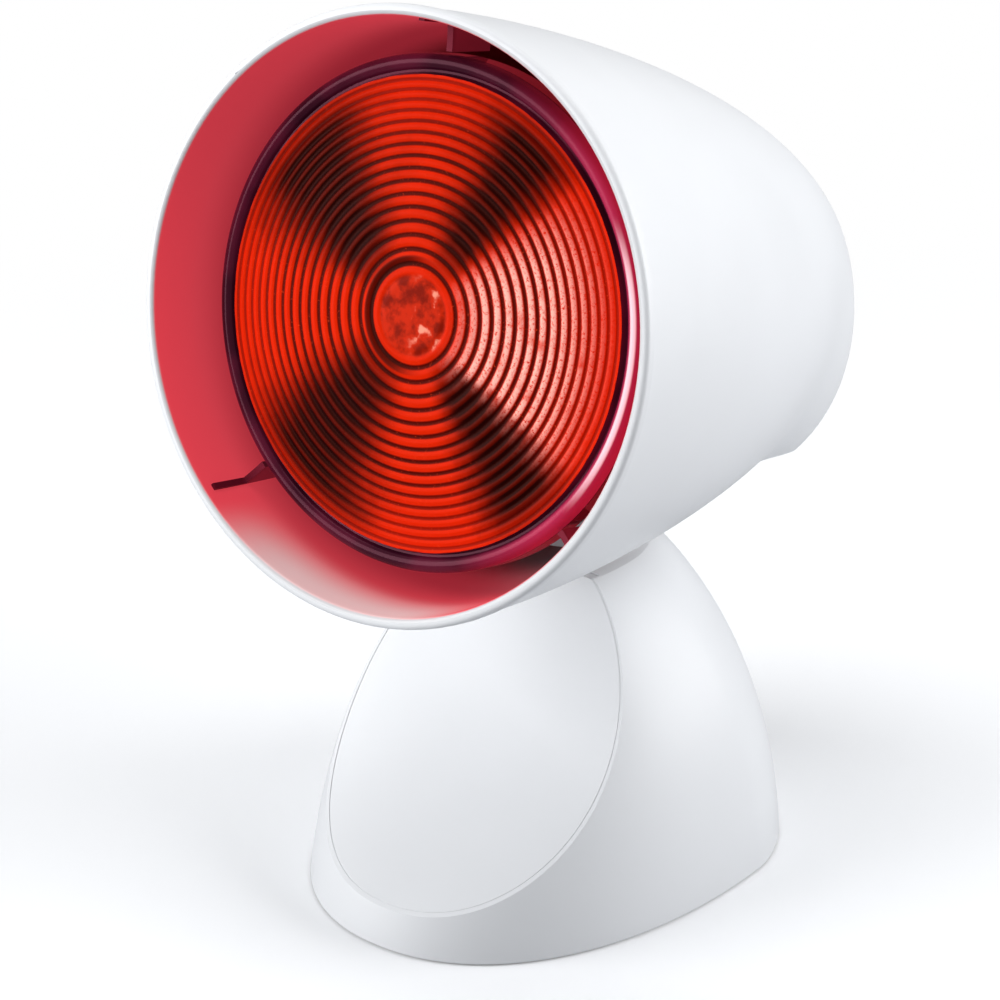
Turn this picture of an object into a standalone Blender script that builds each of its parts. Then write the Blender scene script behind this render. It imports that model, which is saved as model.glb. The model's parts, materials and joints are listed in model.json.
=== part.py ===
"""An infrared heat lamp: a bell shaped shade that tilts on a stand and holds a reflector bulb.

The stand's pieces are placed from the middle of its footprint. The head's pieces are placed from the
middle of the shade's rim, with Y running back along the lamp's axis and Z square to it, upwards.
Lengths are in metres and the scene's origin lies under the middle of the whole lamp.
"""

import math

import bmesh
import bpy
from mathutils import Matrix, Vector

# Clearances and overruns that every piece shares
GAP = 0.0003
OVERRUN = 0.004
THIN_OVERRUN = 0.0008

# Stand outside
STAND_HALF_WIDTH = 0.0548
STAND_FRONT = 0.0693
STAND_BACK = 0.0622
STAND_TOP = 0.0800
WIDTH_PEAK_ABOVE = 0.0055
DEPTH_PEAK_ABOVE = 0.0135
WIDTH_PEAK = STAND_TOP + WIDTH_PEAK_ABOVE
DEPTH_PEAK = STAND_TOP + DEPTH_PEAK_ABOVE
PEAK_BEHIND = 0.0094
WIDEST_BEHIND = 0.0159
STAND_WALL = 0.0026
STAND_LIFT = 0.0006
WIDTH_POWER = 2.06
FRONT_POWER = 1.16
BACK_POWER = 1.55
FRONT_ROUNDNESS = 2.15
BACK_ROUNDNESS = 1.79
RING_CROWDING_POWER = 1.6

# Front panel: it leans back from its toe, steeper near the top, and bows forward across its width
PANEL_TOE_FRONT = 0.0682
PANEL_TOE_HEIGHT = 0.0085
PANEL_LEAN_SHARE = 1.35
PANEL_STEEPEN_RADIUS = 0.0794
PANEL_BOW_RADIUS = 0.0833
PANEL_FLAT_HEIGHT = 0.0600
PANEL_THICKNESS = 0.0024
SEAM_LIP = 0.0007

# Base plate, feet and the screws from below
PLATE_CLEARANCE = 0.0010
PLATE_HEIGHT = 0.0020
PLATE_THICKNESS = 0.0030
FOOT_RADIUS = 0.0065
FOOT_STEM_RADIUS = 0.0024
FOOT_STEM_LENGTH = 0.0058
FOOT_X = 0.0300
FOOT_FRONT = 0.0420
FOOT_BACK = 0.0400
SCREW_RADIUS = 0.00145
SCREW_HEAD_RADIUS = 0.0029
SCREW_HEAD_HEIGHT = 0.0014
SCREW_SOCKET_RADIUS = 0.0013
SCREW_SOCKET_DEPTH = 0.0008
BASE_SCREW_LENGTH = 0.0120
BASE_SCREW_X = 0.0380
BASE_SCREW_FRONT = 0.0230
BASE_SCREW_BACK = 0.0320
POST_RADIUS = 0.0038

# Column inside the stand, which carries the hinge
PIVOT_BEHIND = 0.0206
PIVOT_ABOVE_STAND = 0.0214
PIVOT_HEIGHT = STAND_TOP + PIVOT_ABOVE_STAND
COLUMN_WIDTH = 0.0260
COLUMN_DEPTH = 0.0180
COLUMN_WALL = 0.0030
COLUMN_FLANGE_WIDTH = 0.0500
COLUMN_FLANGE_DEPTH = 0.0380
COLUMN_FLANGE_THICKNESS = 0.0050
COLUMN_WINDOW_HEIGHT = 0.0140
COLUMN_SCREW_INSET = 0.0060
COLUMN_SCREW_LENGTH = 0.0070
BARREL_RADIUS = 0.0105

# Cord inlet at the back of the stand, its clamp, and the terminal block
GLAND_HEIGHT = 0.0115
GLAND_BORE_RADIUS = 0.0033
GLAND_BODY_RADIUS = 0.0047
GLAND_FLANGE_RADIUS = 0.0062
GLAND_FLANGE_THICKNESS = 0.0016
CLAMP_WIDTH = 0.0240
CLAMP_DEPTH = 0.0070
CLAMP_THICKNESS = 0.0030
CLAMP_POST_HEIGHT = 0.0050
CLAMP_SCREW_LENGTH = 0.0070
CLAMP_BEHIND = 0.0490
BLOCK_WIDTH = 0.0260
BLOCK_DEPTH = 0.0120
BLOCK_HEIGHT = 0.0110
BLOCK_ENTRY_RADIUS = 0.0017
BLOCK_WELL_RADIUS = 0.0020
BLOCK_WELL_DEPTH = 0.0028
LEAD_RADIUS = 0.0011
LEAD_SPACING = 0.0060

# Bulb, measured back from the plane of the shade's rim
BULB_RIM_RADIUS = 0.0605
BULB_RIM_BACK = 0.0175
BULB_LENGTH = 0.1330
LENS_RIM_WIDTH = 0.0048
LENS_RADIUS = BULB_RIM_RADIUS - LENS_RIM_WIDTH
LENS_EDGE_BACK = 0.0139
LENS_RISE = 0.0040
LENS_THICKNESS = 0.0030
LENS_APEX = LENS_EDGE_BACK - LENS_RISE
GLASS_WALL = 0.0024
REFLECTOR_RIM_LENGTH = 0.0110
REFLECTOR_DISH_DEPTH = 0.0529
REFLECTOR_THROAT_RADIUS = 0.0235
REFLECTOR_DISH_RADIUS = BULB_RIM_RADIUS - GLASS_WALL / 2
REFLECTOR_FOCUS = (REFLECTOR_DISH_RADIUS**2 - REFLECTOR_THROAT_RADIUS**2) / (4 * REFLECTOR_DISH_DEPTH)
BULB_NECK_RADIUS = 0.0190
BULB_COLLAR_RADIUS = 0.0145
BULB_COLLAR_LENGTH = 0.0090
CAP_LENGTH = 0.0279
CAP_END = LENS_APEX + BULB_LENGTH
CAP_START = CAP_END - CAP_LENGTH
BULB_NECK_END = CAP_START - BULB_COLLAR_LENGTH
CAP_RADIUS = 0.0130
CAP_WALL = 0.0006
CAP_INSULATOR_LENGTH = 0.0050
CAP_CONTACT_RADIUS = 0.0055
CAP_CONTACT_LENGTH = 0.0016
FILAMENT_BACK = 0.0650
FILAMENT_HALF_WIDTH = 0.0110
FILAMENT_COIL_RADIUS = 0.0016
FILAMENT_WIRE_RADIUS = 0.00025
SUPPORT_RADIUS = 0.0006
SUPPORT_SPACING = 0.0060

# Lampholder
CAP_SHOWS = 0.0030
HOLDER_BEHIND_CAP = 0.0071
HOLDER_START = CAP_START + CAP_SHOWS
HOLDER_END = CAP_END + HOLDER_BEHIND_CAP
HOLDER_THREAD_WALL = 0.0006
HOLDER_THREAD_GAP = 0.0004
HOLDER_WALL = 0.0065
HOLDER_RADIUS = CAP_RADIUS + HOLDER_THREAD_GAP + HOLDER_THREAD_WALL + HOLDER_WALL
HOLDER_FLOOR = 0.0040
HOLDER_SCREW_X = 0.0120
HOLDER_SCREW_LENGTH = 0.0056
TONGUE_WIDTH = 0.0060
TONGUE_THICKNESS = 0.0006
TONGUE_LENGTH = 0.0180

# Shade, a turned bell
REST_TILT = math.radians(16.2)
RIM_ROUND_BULB = 0.0116
RIM_RADIUS = BULB_RIM_RADIUS + RIM_ROUND_BULB
LIP_WIDTH = 0.0028
LIP_ROUND = 0.0012
LIP_DEPTH = 0.0030
LIP_STEP = 0.0004
ROOM_BEHIND_HOLDER = 0.0212
SHADE_DEPTH = HOLDER_END + ROOM_BEHIND_HOLDER
SHADE_WALL = 0.0024
BELL_LENGTH_POWER = 1.41
BELL_RADIUS_POWER = 2.42
SHADE_STEPS = 48

# Where the hinge lies on the head: how far behind the rim, and how far below the lamp's axis
PIVOT_TO_TIP = 0.0742
BRACKET_UNDER_HOLDER = 0.0019
HINGE_UNDER_BRACKET = 0.0166
RIM_AHEAD = SHADE_DEPTH - PIVOT_TO_TIP
BRACKET_DROP = HOLDER_RADIUS + BRACKET_UNDER_HOLDER
AXIS_ABOVE = BRACKET_DROP + HINGE_UNDER_BRACKET

# Hood at the shade's lower rear, and the slot that the column passes through
HOOD_BEHIND_HINGE = 0.0296
HOOD_BACK = RIM_AHEAD + HOOD_BEHIND_HINGE
HOOD_DROP = 0.0105
HOOD_RADIUS = 0.0418
HOOD_HALF_WIDTH = 0.0435
HOOD_FLOOR_UNDER_BRACKET = 0.0122
HOOD_FLOOR_DROP = BRACKET_DROP + HOOD_FLOOR_UNDER_BRACKET
HOOD_FLOOR_BEHIND_HINGE = 0.0150
HOOD_FLOOR_START = RIM_AHEAD + HOOD_FLOOR_BEHIND_HINGE
SLOT_BEFORE_HINGE = 0.0270
SLOT_BEHIND_HINGE = 0.0190
SLOT_START = RIM_AHEAD - SLOT_BEFORE_HINGE
SLOT_END = RIM_AHEAD + SLOT_BEHIND_HINGE
SLOT_HALF_WIDTH = 0.0235

# Three fins inside the shade that centre the bulb, one near the top and one at each side below
FIN_ROLL = math.radians(-5)
FIN_SPREAD = math.radians(135)
FIN_THICKNESS = 0.0016
FIN_FRONT = 0.0126
FIN_BACK = 0.0300
FIN_SLOPE = 0.0024
FIN_CLEARANCE = 0.0008

# Vents in the shade's rear
VENT_COUNT = 5
VENT_WIDTH = 0.0240
VENT_HEIGHT = 0.0024
VENT_PITCH = 0.0056
VENT_DEPTH = 0.0120

# Bracket that carries the lampholder and hangs on the hinge
BRACKET_SHEET = 0.0020
BEND_INSET = 0.0004
CHEEK_WIDTH = 0.0180
BRACKET_REAR_HALF_WIDTH = 0.0140
BRACKET_REAR_TOP = 0.0140
BRACKET_NARROWS_BEFORE_END = 0.0100
BRACKET_STEP_BACK = HOLDER_END - BRACKET_NARROWS_BEFORE_END
EAR_WIDTH = 0.0110
EAR_START = RIM_AHEAD
EAR_END = EAR_START + EAR_WIDTH
EAR_SCREW_BACK = (EAR_START + EAR_END) / 2
EAR_SCREW_X = 0.0300
EAR_EDGE = 0.0050
EAR_REACH = EAR_SCREW_X + EAR_EDGE
EAR_SCREW_LENGTH = 0.0090
EAR_POST_RADIUS = 0.0036

# Hinge hardware
PIVOT_TUBE_RADIUS = 0.0050
PIVOT_TUBE_BORE_RADIUS = 0.0034
PIVOT_TUBE_OUTSTAND = 0.0010
NUT_ACROSS_CORNERS_RADIUS = 0.0085
NUT_THICKNESS = 0.0030
WASHER_RADIUS = 0.0085
WASHER_THICKNESS = 0.0008
DETENT_RING_RADIUS = 0.0115
DETENT_RING_THICKNESS = 0.0012
CHEEK_FACE = COLUMN_WIDTH / 2 + DETENT_RING_THICKNESS + WASHER_THICKNESS + 3 * GAP
BRACKET_HALF_WIDTH = CHEEK_FACE + BRACKET_SHEET
PIVOT_TUBE_HALF_LENGTH = BRACKET_HALF_WIDTH + GAP + NUT_THICKNESS + PIVOT_TUBE_OUTSTAND
DETENT_STEP = math.radians(10)
DETENT_COUNT = 5
DETENT_BELOW_REST = 1
DETENT_NOTCH_RADIUS = 0.0010
DETENT_SPRING_WIDTH = 0.0022
DETENT_SPRING_THICKNESS = 0.0005
DETENT_NOSE_RADIUS = 0.0009
DETENT_LEG_INSET = 0.0002
DETENT_SCREW_BACK = 0.0160
DETENT_SCREW_LENGTH = 0.0042

# Finishes: colour, roughness, metallic
WHITE_PLASTIC = ((0.90, 0.91, 0.92), 0.38, 0.0)
RED_GLASS = ((0.80, 0.03, 0.005), 0.12, 0.0)
DARK_RED_GLASS = ((0.20, 0.02, 0.04), 0.15, 0.0)
BLACK_PLASTIC = ((0.03, 0.03, 0.035), 0.50, 0.0)
GREY_NYLON = ((0.32, 0.33, 0.35), 0.50, 0.0)
RUBBER = ((0.05, 0.05, 0.055), 0.80, 0.0)
CERAMIC = ((0.86, 0.84, 0.78), 0.45, 0.0)
ZINC_STEEL = ((0.62, 0.63, 0.64), 0.32, 1.0)
BRASS = ((0.78, 0.58, 0.28), 0.30, 1.0)
TUNGSTEN = ((0.35, 0.33, 0.32), 0.40, 1.0)
BLUE_WIRE = ((0.03, 0.12, 0.42), 0.45, 0.0)
BROWN_WIRE = ((0.20, 0.09, 0.04), 0.45, 0.0)

SMOOTH_ANGLE = math.radians(35)
FACE_FORWARD = (math.radians(90), 0, 0)
ALONG_X = (0, math.radians(90), 0)

# Stands a flat outline upright, square to X: its own X turns to Y, and its own Y to Z
UPRIGHT = Matrix(((0, 0, 1, 0), (1, 0, 0, 0), (0, 1, 0, 0), (0, 0, 0, 1)))


def clear_scene():
    for obj in list(bpy.data.objects):
        bpy.data.objects.remove(obj, do_unlink=True)


def collection_named(name):
    found = bpy.data.collections.new(name)
    bpy.context.scene.collection.children.link(found)
    return found


clear_scene()
LAMP = collection_named("heat_lamp")
CUTTERS = collection_named("cutters")


def empty_at(name, location, rotation=(0, 0, 0), parent=None):
    empty = bpy.data.objects.new(name, None)
    empty.location = location
    empty.rotation_euler = rotation
    empty.parent = parent
    LAMP.objects.link(empty)
    return empty


def material_for(name, finish):
    colour, roughness, metallic = finish
    material = bpy.data.materials.new(name)
    material.use_nodes = True
    shader = material.node_tree.nodes["Principled BSDF"]
    shader.inputs["Base Color"].default_value = (*colour, 1)
    shader.inputs["Roughness"].default_value = roughness
    shader.inputs["Metallic"].default_value = metallic
    return material


def add_object(name, mesh, parent, location, rotation, finish):
    """A piece of the lamp when it has a finish, and otherwise a cutter that no render shows."""
    obj = bpy.data.objects.new(name, mesh)
    obj.parent = parent
    obj.location = location
    obj.rotation_euler = rotation
    if finish:
        LAMP.objects.link(obj)
        mesh.materials.append(material_for(name, finish))
    else:
        CUTTERS.objects.link(obj)
        obj.hide_render = True
        obj.display_type = "WIRE"
    return obj


def mesh_from(name, shape, smooth=True):
    mesh = bpy.data.meshes.new(name)
    shape.to_mesh(mesh)
    shape.free()
    if smooth:
        mesh.shade_smooth()
        mesh.set_sharp_from_angle(angle=SMOOTH_ANGLE)
    return mesh


def box(name, low, high, parent, finish=None, location=(0, 0, 0), rotation=(0, 0, 0)):
    """A box between two corners."""
    low, high = Vector(low), Vector(high)
    shape = bmesh.new()
    bmesh.ops.create_cube(shape, size=1)
    bmesh.ops.scale(shape, vec=high - low, verts=shape.verts)
    bmesh.ops.translate(shape, vec=(low + high) / 2, verts=shape.verts)
    return add_object(name, mesh_from(name, shape, False), parent, location, rotation, finish)


def cylinder(name, radius, low, high, parent, location, rotation=(0, 0, 0), finish=None, sides=16):
    """A cylinder along its own Z, from low to high."""
    shape = bmesh.new()
    middle = Matrix.Translation((0, 0, (low + high) / 2))
    bmesh.ops.create_cone(
        shape,
        cap_ends=True,
        segments=sides,
        radius1=radius,
        radius2=radius,
        depth=high - low,
        matrix=middle,
    )
    return add_object(name, mesh_from(name, shape), parent, location, rotation, finish)


def turned(name, profile, parent, location=(0, 0, 0), rotation=(0, 0, 0), finish=None, steps=24):
    """A profile of (radius, height) points turned about its own Z. It runs down the outer side."""
    closed = profile[0][0] > 0 or profile[-1][0] > 0
    mesh = bpy.data.meshes.new(name)
    points = [(radius, 0, height) for radius, height in profile]
    edges = [(i, i + 1) for i in range(len(points) - 1)]
    if closed:
        edges.append((len(points) - 1, 0))
    mesh.from_pydata(points, edges, [])
    obj = add_object(name, mesh, parent, location, rotation, finish)
    screw = obj.modifiers.new("turn", "SCREW")
    screw.axis = "Z"
    screw.steps = steps
    screw.render_steps = steps
    screw.use_merge_vertices = True
    screw.merge_threshold = 0.00001
    screw.use_smooth_shade = True
    return obj


def combine(target, *others, operation="DIFFERENCE"):
    for other in others:
        modifier = target.modifiers.new(other.name, "BOOLEAN")
        modifier.operation = operation
        modifier.solver = "EXACT"
        modifier.object = other
    return target


def cut(target, *others):
    return combine(target, *others)


def join(target, *others):
    return combine(target, *others, operation="UNION")


def keep_common(target, *others):
    return combine(target, *others, operation="INTERSECT")


def extruded(name, outline, thickness, parent, location, rotation, finish=None):
    """A flat outline in its own XY plane, made a slab with its middle on that plane."""
    shape = bmesh.new()
    corners = [shape.verts.new((x, y, -thickness / 2)) for x, y in outline]
    face = shape.faces.new(corners)
    lifted = bmesh.ops.extrude_face_region(shape, geom=[face])["geom"]
    moved = [item for item in lifted if isinstance(item, bmesh.types.BMVert)]
    bmesh.ops.translate(shape, vec=(0, 0, thickness), verts=moved)
    bmesh.ops.recalc_face_normals(shape, faces=shape.faces)
    return add_object(name, mesh_from(name, shape, False), parent, location, rotation, finish)


def wire(name, points, radius, parent, finish, location=(0, 0, 0)):
    """A round wire through its points, as a curve with filled caps."""
    curve = bpy.data.curves.new(name, "CURVE")
    curve.dimensions = "3D"
    curve.bevel_depth = radius
    curve.bevel_resolution = 1
    curve.use_fill_caps = True
    spline = curve.splines.new("POLY")
    spline.points.add(len(points) - 1)
    for point, place in zip(spline.points, points):
        point.co = (*place, 1)
    obj = bpy.data.objects.new(name, curve)
    obj.parent = parent
    obj.location = location
    LAMP.objects.link(obj)
    curve.materials.append(material_for(name, finish))
    return obj


def rounded_route(corners, bend, pieces=4):
    """Points along straight runs between corners, each corner turned by a curve that starts bend away."""
    corners = [Vector(corner) for corner in corners]
    route = [corners[0]]
    for before, corner, after in zip(corners, corners[1:], corners[2:]):
        start = corner + (before - corner).normalized() * bend
        end = corner + (after - corner).normalized() * bend
        for i in range(pieces + 1):
            t = i / pieces
            route.append(start * (1 - t) ** 2 + corner * (2 * t * (1 - t)) + end * t**2)
    route.append(corners[-1])
    return route


def stand_section(height, inset, count):
    """One ring of the stand's outer form at this height, drawn in by the inset."""
    rise = max(height, 0) / DEPTH_PEAK
    width_rise = max(height, 0) / WIDTH_PEAK
    half_width = STAND_HALF_WIDTH * math.sqrt(1 - width_rise**WIDTH_POWER) - inset
    front_reach = (STAND_FRONT + PEAK_BEHIND) * math.sqrt(1 - rise**FRONT_POWER)
    back_reach = (STAND_BACK - PEAK_BEHIND) * math.sqrt(1 - rise**BACK_POWER)
    middle = WIDEST_BEHIND + (PEAK_BEHIND - WIDEST_BEHIND) * rise
    front = middle - (PEAK_BEHIND - front_reach) - inset
    back = PEAK_BEHIND + back_reach - middle - inset
    ring = []
    for i in range(count):
        angle = 2 * math.pi * i / count
        sine, cosine = math.sin(angle), math.cos(angle)
        reach, power = (back, BACK_ROUNDNESS) if cosine > 0 else (front, FRONT_ROUNDNESS)
        x = half_width * sine
        y = middle + math.copysign(reach * (1 - abs(sine) ** power) ** (1 / power), cosine)
        ring.append((x, y, height))
    return ring


def stand_form(name, inset, low, high, parent, finish=None, rings=10, count=36):
    """A closed solid lofted through the stand's rings, closer together towards the top."""
    shape = bmesh.new()
    loops = []
    for i in range(rings + 1):
        share = 1 - (1 - i / rings) ** RING_CROWDING_POWER
        height = low + (high - low) * share
        loops.append([shape.verts.new(point) for point in stand_section(height, inset, count)])
    for lower, upper in zip(loops, loops[1:]):
        for i in range(count):
            following = (i + 1) % count
            shape.faces.new((lower[i], lower[following], upper[following], upper[i]))
    shape.faces.new(reversed(loops[0]))
    shape.faces.new(loops[-1])
    bmesh.ops.recalc_face_normals(shape, faces=shape.faces)
    return add_object(name, mesh_from(name, shape), parent, (0, 0, 0), (0, 0, 0), finish)


def panel_front(x, height):
    """How far back the front panel's face lies at this place across and up the stand."""
    rise = height - PANEL_TOE_HEIGHT
    bow = (1 - height / PANEL_FLAT_HEIGHT) / (2 * PANEL_BOW_RADIUS)
    lean = PANEL_LEAN_SHARE * rise - rise**2 / (2 * PANEL_STEEPEN_RADIUS)
    return -PANEL_TOE_FRONT + lean + bow * x**2


def panel_slab(name, near, far, parent, finish=None, across=14, up=10):
    """The space between two copies of the panel's face, moved back by near and far."""
    shape = bmesh.new()
    bmesh.ops.create_grid(shape, x_segments=across, y_segments=up, size=1)
    low = PANEL_TOE_HEIGHT - PANEL_THICKNESS - OVERRUN
    high = STAND_TOP + OVERRUN
    for vert in shape.verts:
        x = vert.co.x * (STAND_HALF_WIDTH + OVERRUN)
        height = low + (high - low) * (vert.co.y + 1) / 2
        vert.co = (x, panel_front(x, height) + near, height)
    lifted = bmesh.ops.extrude_face_region(shape, geom=shape.faces[:])["geom"]
    moved = [item for item in lifted if isinstance(item, bmesh.types.BMVert)]
    bmesh.ops.translate(shape, vec=(0, far - near, 0), verts=moved)
    bmesh.ops.recalc_face_normals(shape, faces=shape.faces)
    return add_object(name, mesh_from(name, shape), parent, (0, 0, 0), (0, 0, 0), finish)


def bell_radius(back, radius=RIM_RADIUS - LIP_STEP, depth=SHADE_DEPTH):
    """The shade's outer radius this far behind its rim."""
    share = min(max(back / depth, 0), 1)
    return radius * (1 - share**BELL_LENGTH_POWER) ** (1 / BELL_RADIUS_POWER)


def bell_profile(start, radius, depth, count):
    """Points (radius, -back) of a bell from a place behind the rim to its tip, closer near the tip."""
    points = []
    for i in range(count + 1):
        back = start + (depth - start) * (1 - (1 - i / count) ** 2)
        points.append((bell_radius(back, radius, depth), -back))
    points[-1] = (0, -depth)
    return points


def head_to_stand(back, up):
    """Where a place on the head lies at rest: how far behind the hinge, and how far above it."""
    y, z = back - RIM_AHEAD, up + AXIS_ABOVE
    behind = y * math.cos(REST_TILT) + z * math.sin(REST_TILT)
    above = z * math.cos(REST_TILT) - y * math.sin(REST_TILT)
    return behind, above


def origin_to_stand():
    """How far the footprint's middle lies behind the origin, which is under the lamp's middle."""
    front = PIVOT_BEHIND + head_to_stand(0, -RIM_RADIUS)[0]
    tips = [(-height, radius) for radius, height in bell_profile(0, RIM_RADIUS, SHADE_DEPTH, 60)]
    back = PIVOT_BEHIND + max(head_to_stand(*tip)[0] for tip in tips)
    return -(front + back) / 2


STAND = empty_at("stand_middle", (0, origin_to_stand(), 0))
TILT_AXIS = empty_at(
    "tilt_axis",
    (0, origin_to_stand() + PIVOT_BEHIND, PIVOT_HEIGHT),
    (-REST_TILT, 0, 0),
)
HEAD_PLACE = (0, -RIM_AHEAD, AXIS_ABOVE)
BULB_AXIS = empty_at("bulb_axis", HEAD_PLACE, (0, 0, 0), TILT_AXIS)


def screw_piece(name, length, parent, location, rotation, finish=ZINC_STEEL):
    """A pan head screw. Its head's seat is at its own zero and its shank runs along its own Z."""
    profile = [
        (0, length),
        (SCREW_RADIUS, length),
        (SCREW_RADIUS, 0),
        (SCREW_HEAD_RADIUS, 0),
        (SCREW_HEAD_RADIUS, -SCREW_HEAD_HEIGHT),
        (SCREW_SOCKET_RADIUS, -SCREW_HEAD_HEIGHT),
        (SCREW_SOCKET_RADIUS, SCREW_SOCKET_DEPTH - SCREW_HEAD_HEIGHT),
        (0, SCREW_SOCKET_DEPTH - SCREW_HEAD_HEIGHT),
    ]
    return turned(name, profile, parent, location, rotation, finish, 12)


PLATE_TOP = PLATE_HEIGHT + PLATE_THICKNESS
HEAD_SEAT = PLATE_HEIGHT + SCREW_HEAD_HEIGHT - GAP
BASE_SCREW_PLACES = [
    (side * BASE_SCREW_X, y)
    for y in (-BASE_SCREW_FRONT, BASE_SCREW_BACK)
    for side in (-1, 1)
]
COLUMN_SCREW_PLACES = [
    (across * (COLUMN_FLANGE_WIDTH / 2 - COLUMN_SCREW_INSET),
     PIVOT_BEHIND + along * (COLUMN_FLANGE_DEPTH / 2 - COLUMN_SCREW_INSET))
    for along in (-1, 1)
    for across in (-1, 1)
]
FOOT_PLACES = [(side * FOOT_X, y) for y in (-FOOT_FRONT, FOOT_BACK) for side in (-1, 1)]
CLAMP_SCREW_X = CLAMP_WIDTH / 2 - CLAMP_DEPTH / 2


def screw_hole(name, parent, x, y, low, high):
    return cylinder(name, SCREW_RADIUS + GAP, low, high, parent, (x, y, 0), sides=10)


def gland_seat():
    """How far behind the footprint's middle the stand's back wall is, at the inlet's height."""
    back = max(y for _, y, _ in stand_section(GLAND_HEIGHT, 0, 4))
    return back - THIN_OVERRUN


def make_shell():
    shell = stand_form("stand_shell", 0, STAND_LIFT, STAND_TOP, STAND, WHITE_PLASTIC)
    hollow = stand_form(
        "shell_hollow", STAND_WALL, STAND_LIFT - OVERRUN, STAND_TOP - STAND_WALL, STAND, None, 8
    )
    for number, (x, y) in enumerate(BASE_SCREW_PLACES, 1):
        post = cylinder(
            f"post_{number}", POST_RADIUS, PLATE_TOP + GAP, STAND_TOP, STAND, (x, y, 0), sides=10
        )
        hole_top = PLATE_TOP + BASE_SCREW_LENGTH
        cut(post, screw_hole(f"post_hole_{number}", STAND, x, y, -OVERRUN, hole_top))
        cut(hollow, post)
    cut(shell, hollow)
    cut(shell, panel_slab("panel_side_cut", -STAND_FRONT, 0, STAND))
    pocket_top = (STAND_TOP + WIDTH_PEAK) / 2
    pocket = stand_form("panel_pocket", SEAM_LIP, PANEL_TOE_HEIGHT - OVERRUN, pocket_top, STAND)
    keep_common(pocket, panel_slab("panel_back_cut", -STAND_FRONT, PANEL_THICKNESS + GAP, STAND))
    cut(shell, pocket)
    half_width = COLUMN_WIDTH / 2 + GAP
    half_depth = COLUMN_DEPTH / 2 + GAP
    cut(
        shell,
        box(
            "column_way",
            (-half_width, PIVOT_BEHIND - half_depth, STAND_TOP - STAND_WALL - OVERRUN),
            (half_width, PIVOT_BEHIND + half_depth, STAND_TOP + OVERRUN),
            STAND,
        ),
    )
    gland_place = (0, gland_seat(), GLAND_HEIGHT)
    reach = STAND_WALL + OVERRUN
    cut(
        shell,
        cylinder(
            "gland_hole", GLAND_BODY_RADIUS + GAP, -OVERRUN, reach, STAND, gland_place, FACE_FORWARD
        ),
        cylinder(
            "gland_face", GLAND_FLANGE_RADIUS + GAP, -OVERRUN, 0, STAND, gland_place, FACE_FORWARD
        ),
    )
    return shell


def make_front_panel():
    panel = panel_slab("front_panel", 0, PANEL_THICKNESS, STAND, WHITE_PLASTIC)
    outline = stand_form(
        "panel_outline",
        SEAM_LIP + GAP,
        PANEL_TOE_HEIGHT - OVERRUN,
        STAND_TOP - GAP,
        STAND,
    )
    return keep_common(panel, outline)


def make_base_plate():
    inset = STAND_WALL + PLATE_CLEARANCE
    plate = stand_form("base_plate", inset, PLATE_HEIGHT, PLATE_TOP, STAND, BLACK_PLASTIC, 1)
    seat = PLATE_HEIGHT + SCREW_HEAD_HEIGHT
    for number, (x, y) in enumerate(BASE_SCREW_PLACES + COLUMN_SCREW_PLACES, 1):
        bore = cylinder(
            f"plate_bore_{number}",
            SCREW_HEAD_RADIUS + GAP,
            -OVERRUN,
            seat,
            STAND,
            (x, y, 0),
            sides=10,
        )
        cut(plate, bore)
        cut(plate, screw_hole(f"plate_hole_{number}", STAND, x, y, 0, PLATE_TOP + OVERRUN))
    for number, (x, y) in enumerate(FOOT_PLACES, 1):
        cut(
            plate,
            cylinder(
                f"stem_hole_{number}",
                FOOT_STEM_RADIUS + GAP,
                -OVERRUN,
                PLATE_TOP + OVERRUN,
                STAND,
                (x, y, 0),
                sides=10,
            ),
        )
    for number, side in enumerate((-1, 1), 1):
        place = (side * CLAMP_SCREW_X, CLAMP_BEHIND, 0)
        post = cylinder(
            f"clamp_post_{number}",
            CLAMP_DEPTH / 2,
            PLATE_TOP - THIN_OVERRUN,
            PLATE_TOP + CLAMP_POST_HEIGHT,
            STAND,
            place,
            sides=16,
        )
        join(plate, post)
        cut(
            plate,
            screw_hole(
                f"clamp_post_hole_{number}",
                STAND,
                place[0],
                place[1],
                PLATE_TOP,
                PLATE_TOP + CLAMP_POST_HEIGHT + OVERRUN,
            ),
        )
    return plate


def make_feet():
    profile = [
        (0, FOOT_STEM_LENGTH),
        (FOOT_STEM_RADIUS, FOOT_STEM_LENGTH),
        (FOOT_STEM_RADIUS, PLATE_HEIGHT - GAP),
        (FOOT_RADIUS, PLATE_HEIGHT - GAP),
        (FOOT_RADIUS, 0),
        (0, 0),
    ]
    for number, (x, y) in enumerate(FOOT_PLACES, 1):
        turned(f"rubber_foot_{number}", profile, STAND, (x, y, 0), finish=RUBBER, steps=18)


def make_stand_screws():
    for number, (x, y) in enumerate(BASE_SCREW_PLACES, 1):
        length = BASE_SCREW_LENGTH - PLATE_THICKNESS
        screw_piece(f"base_screw_{number}", length, STAND, (x, y, HEAD_SEAT), (0, 0, 0))
    for number, (x, y) in enumerate(COLUMN_SCREW_PLACES, 1):
        name = f"column_screw_{number}"
        screw_piece(name, COLUMN_SCREW_LENGTH, STAND, (x, y, HEAD_SEAT), (0, 0, 0))


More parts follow.
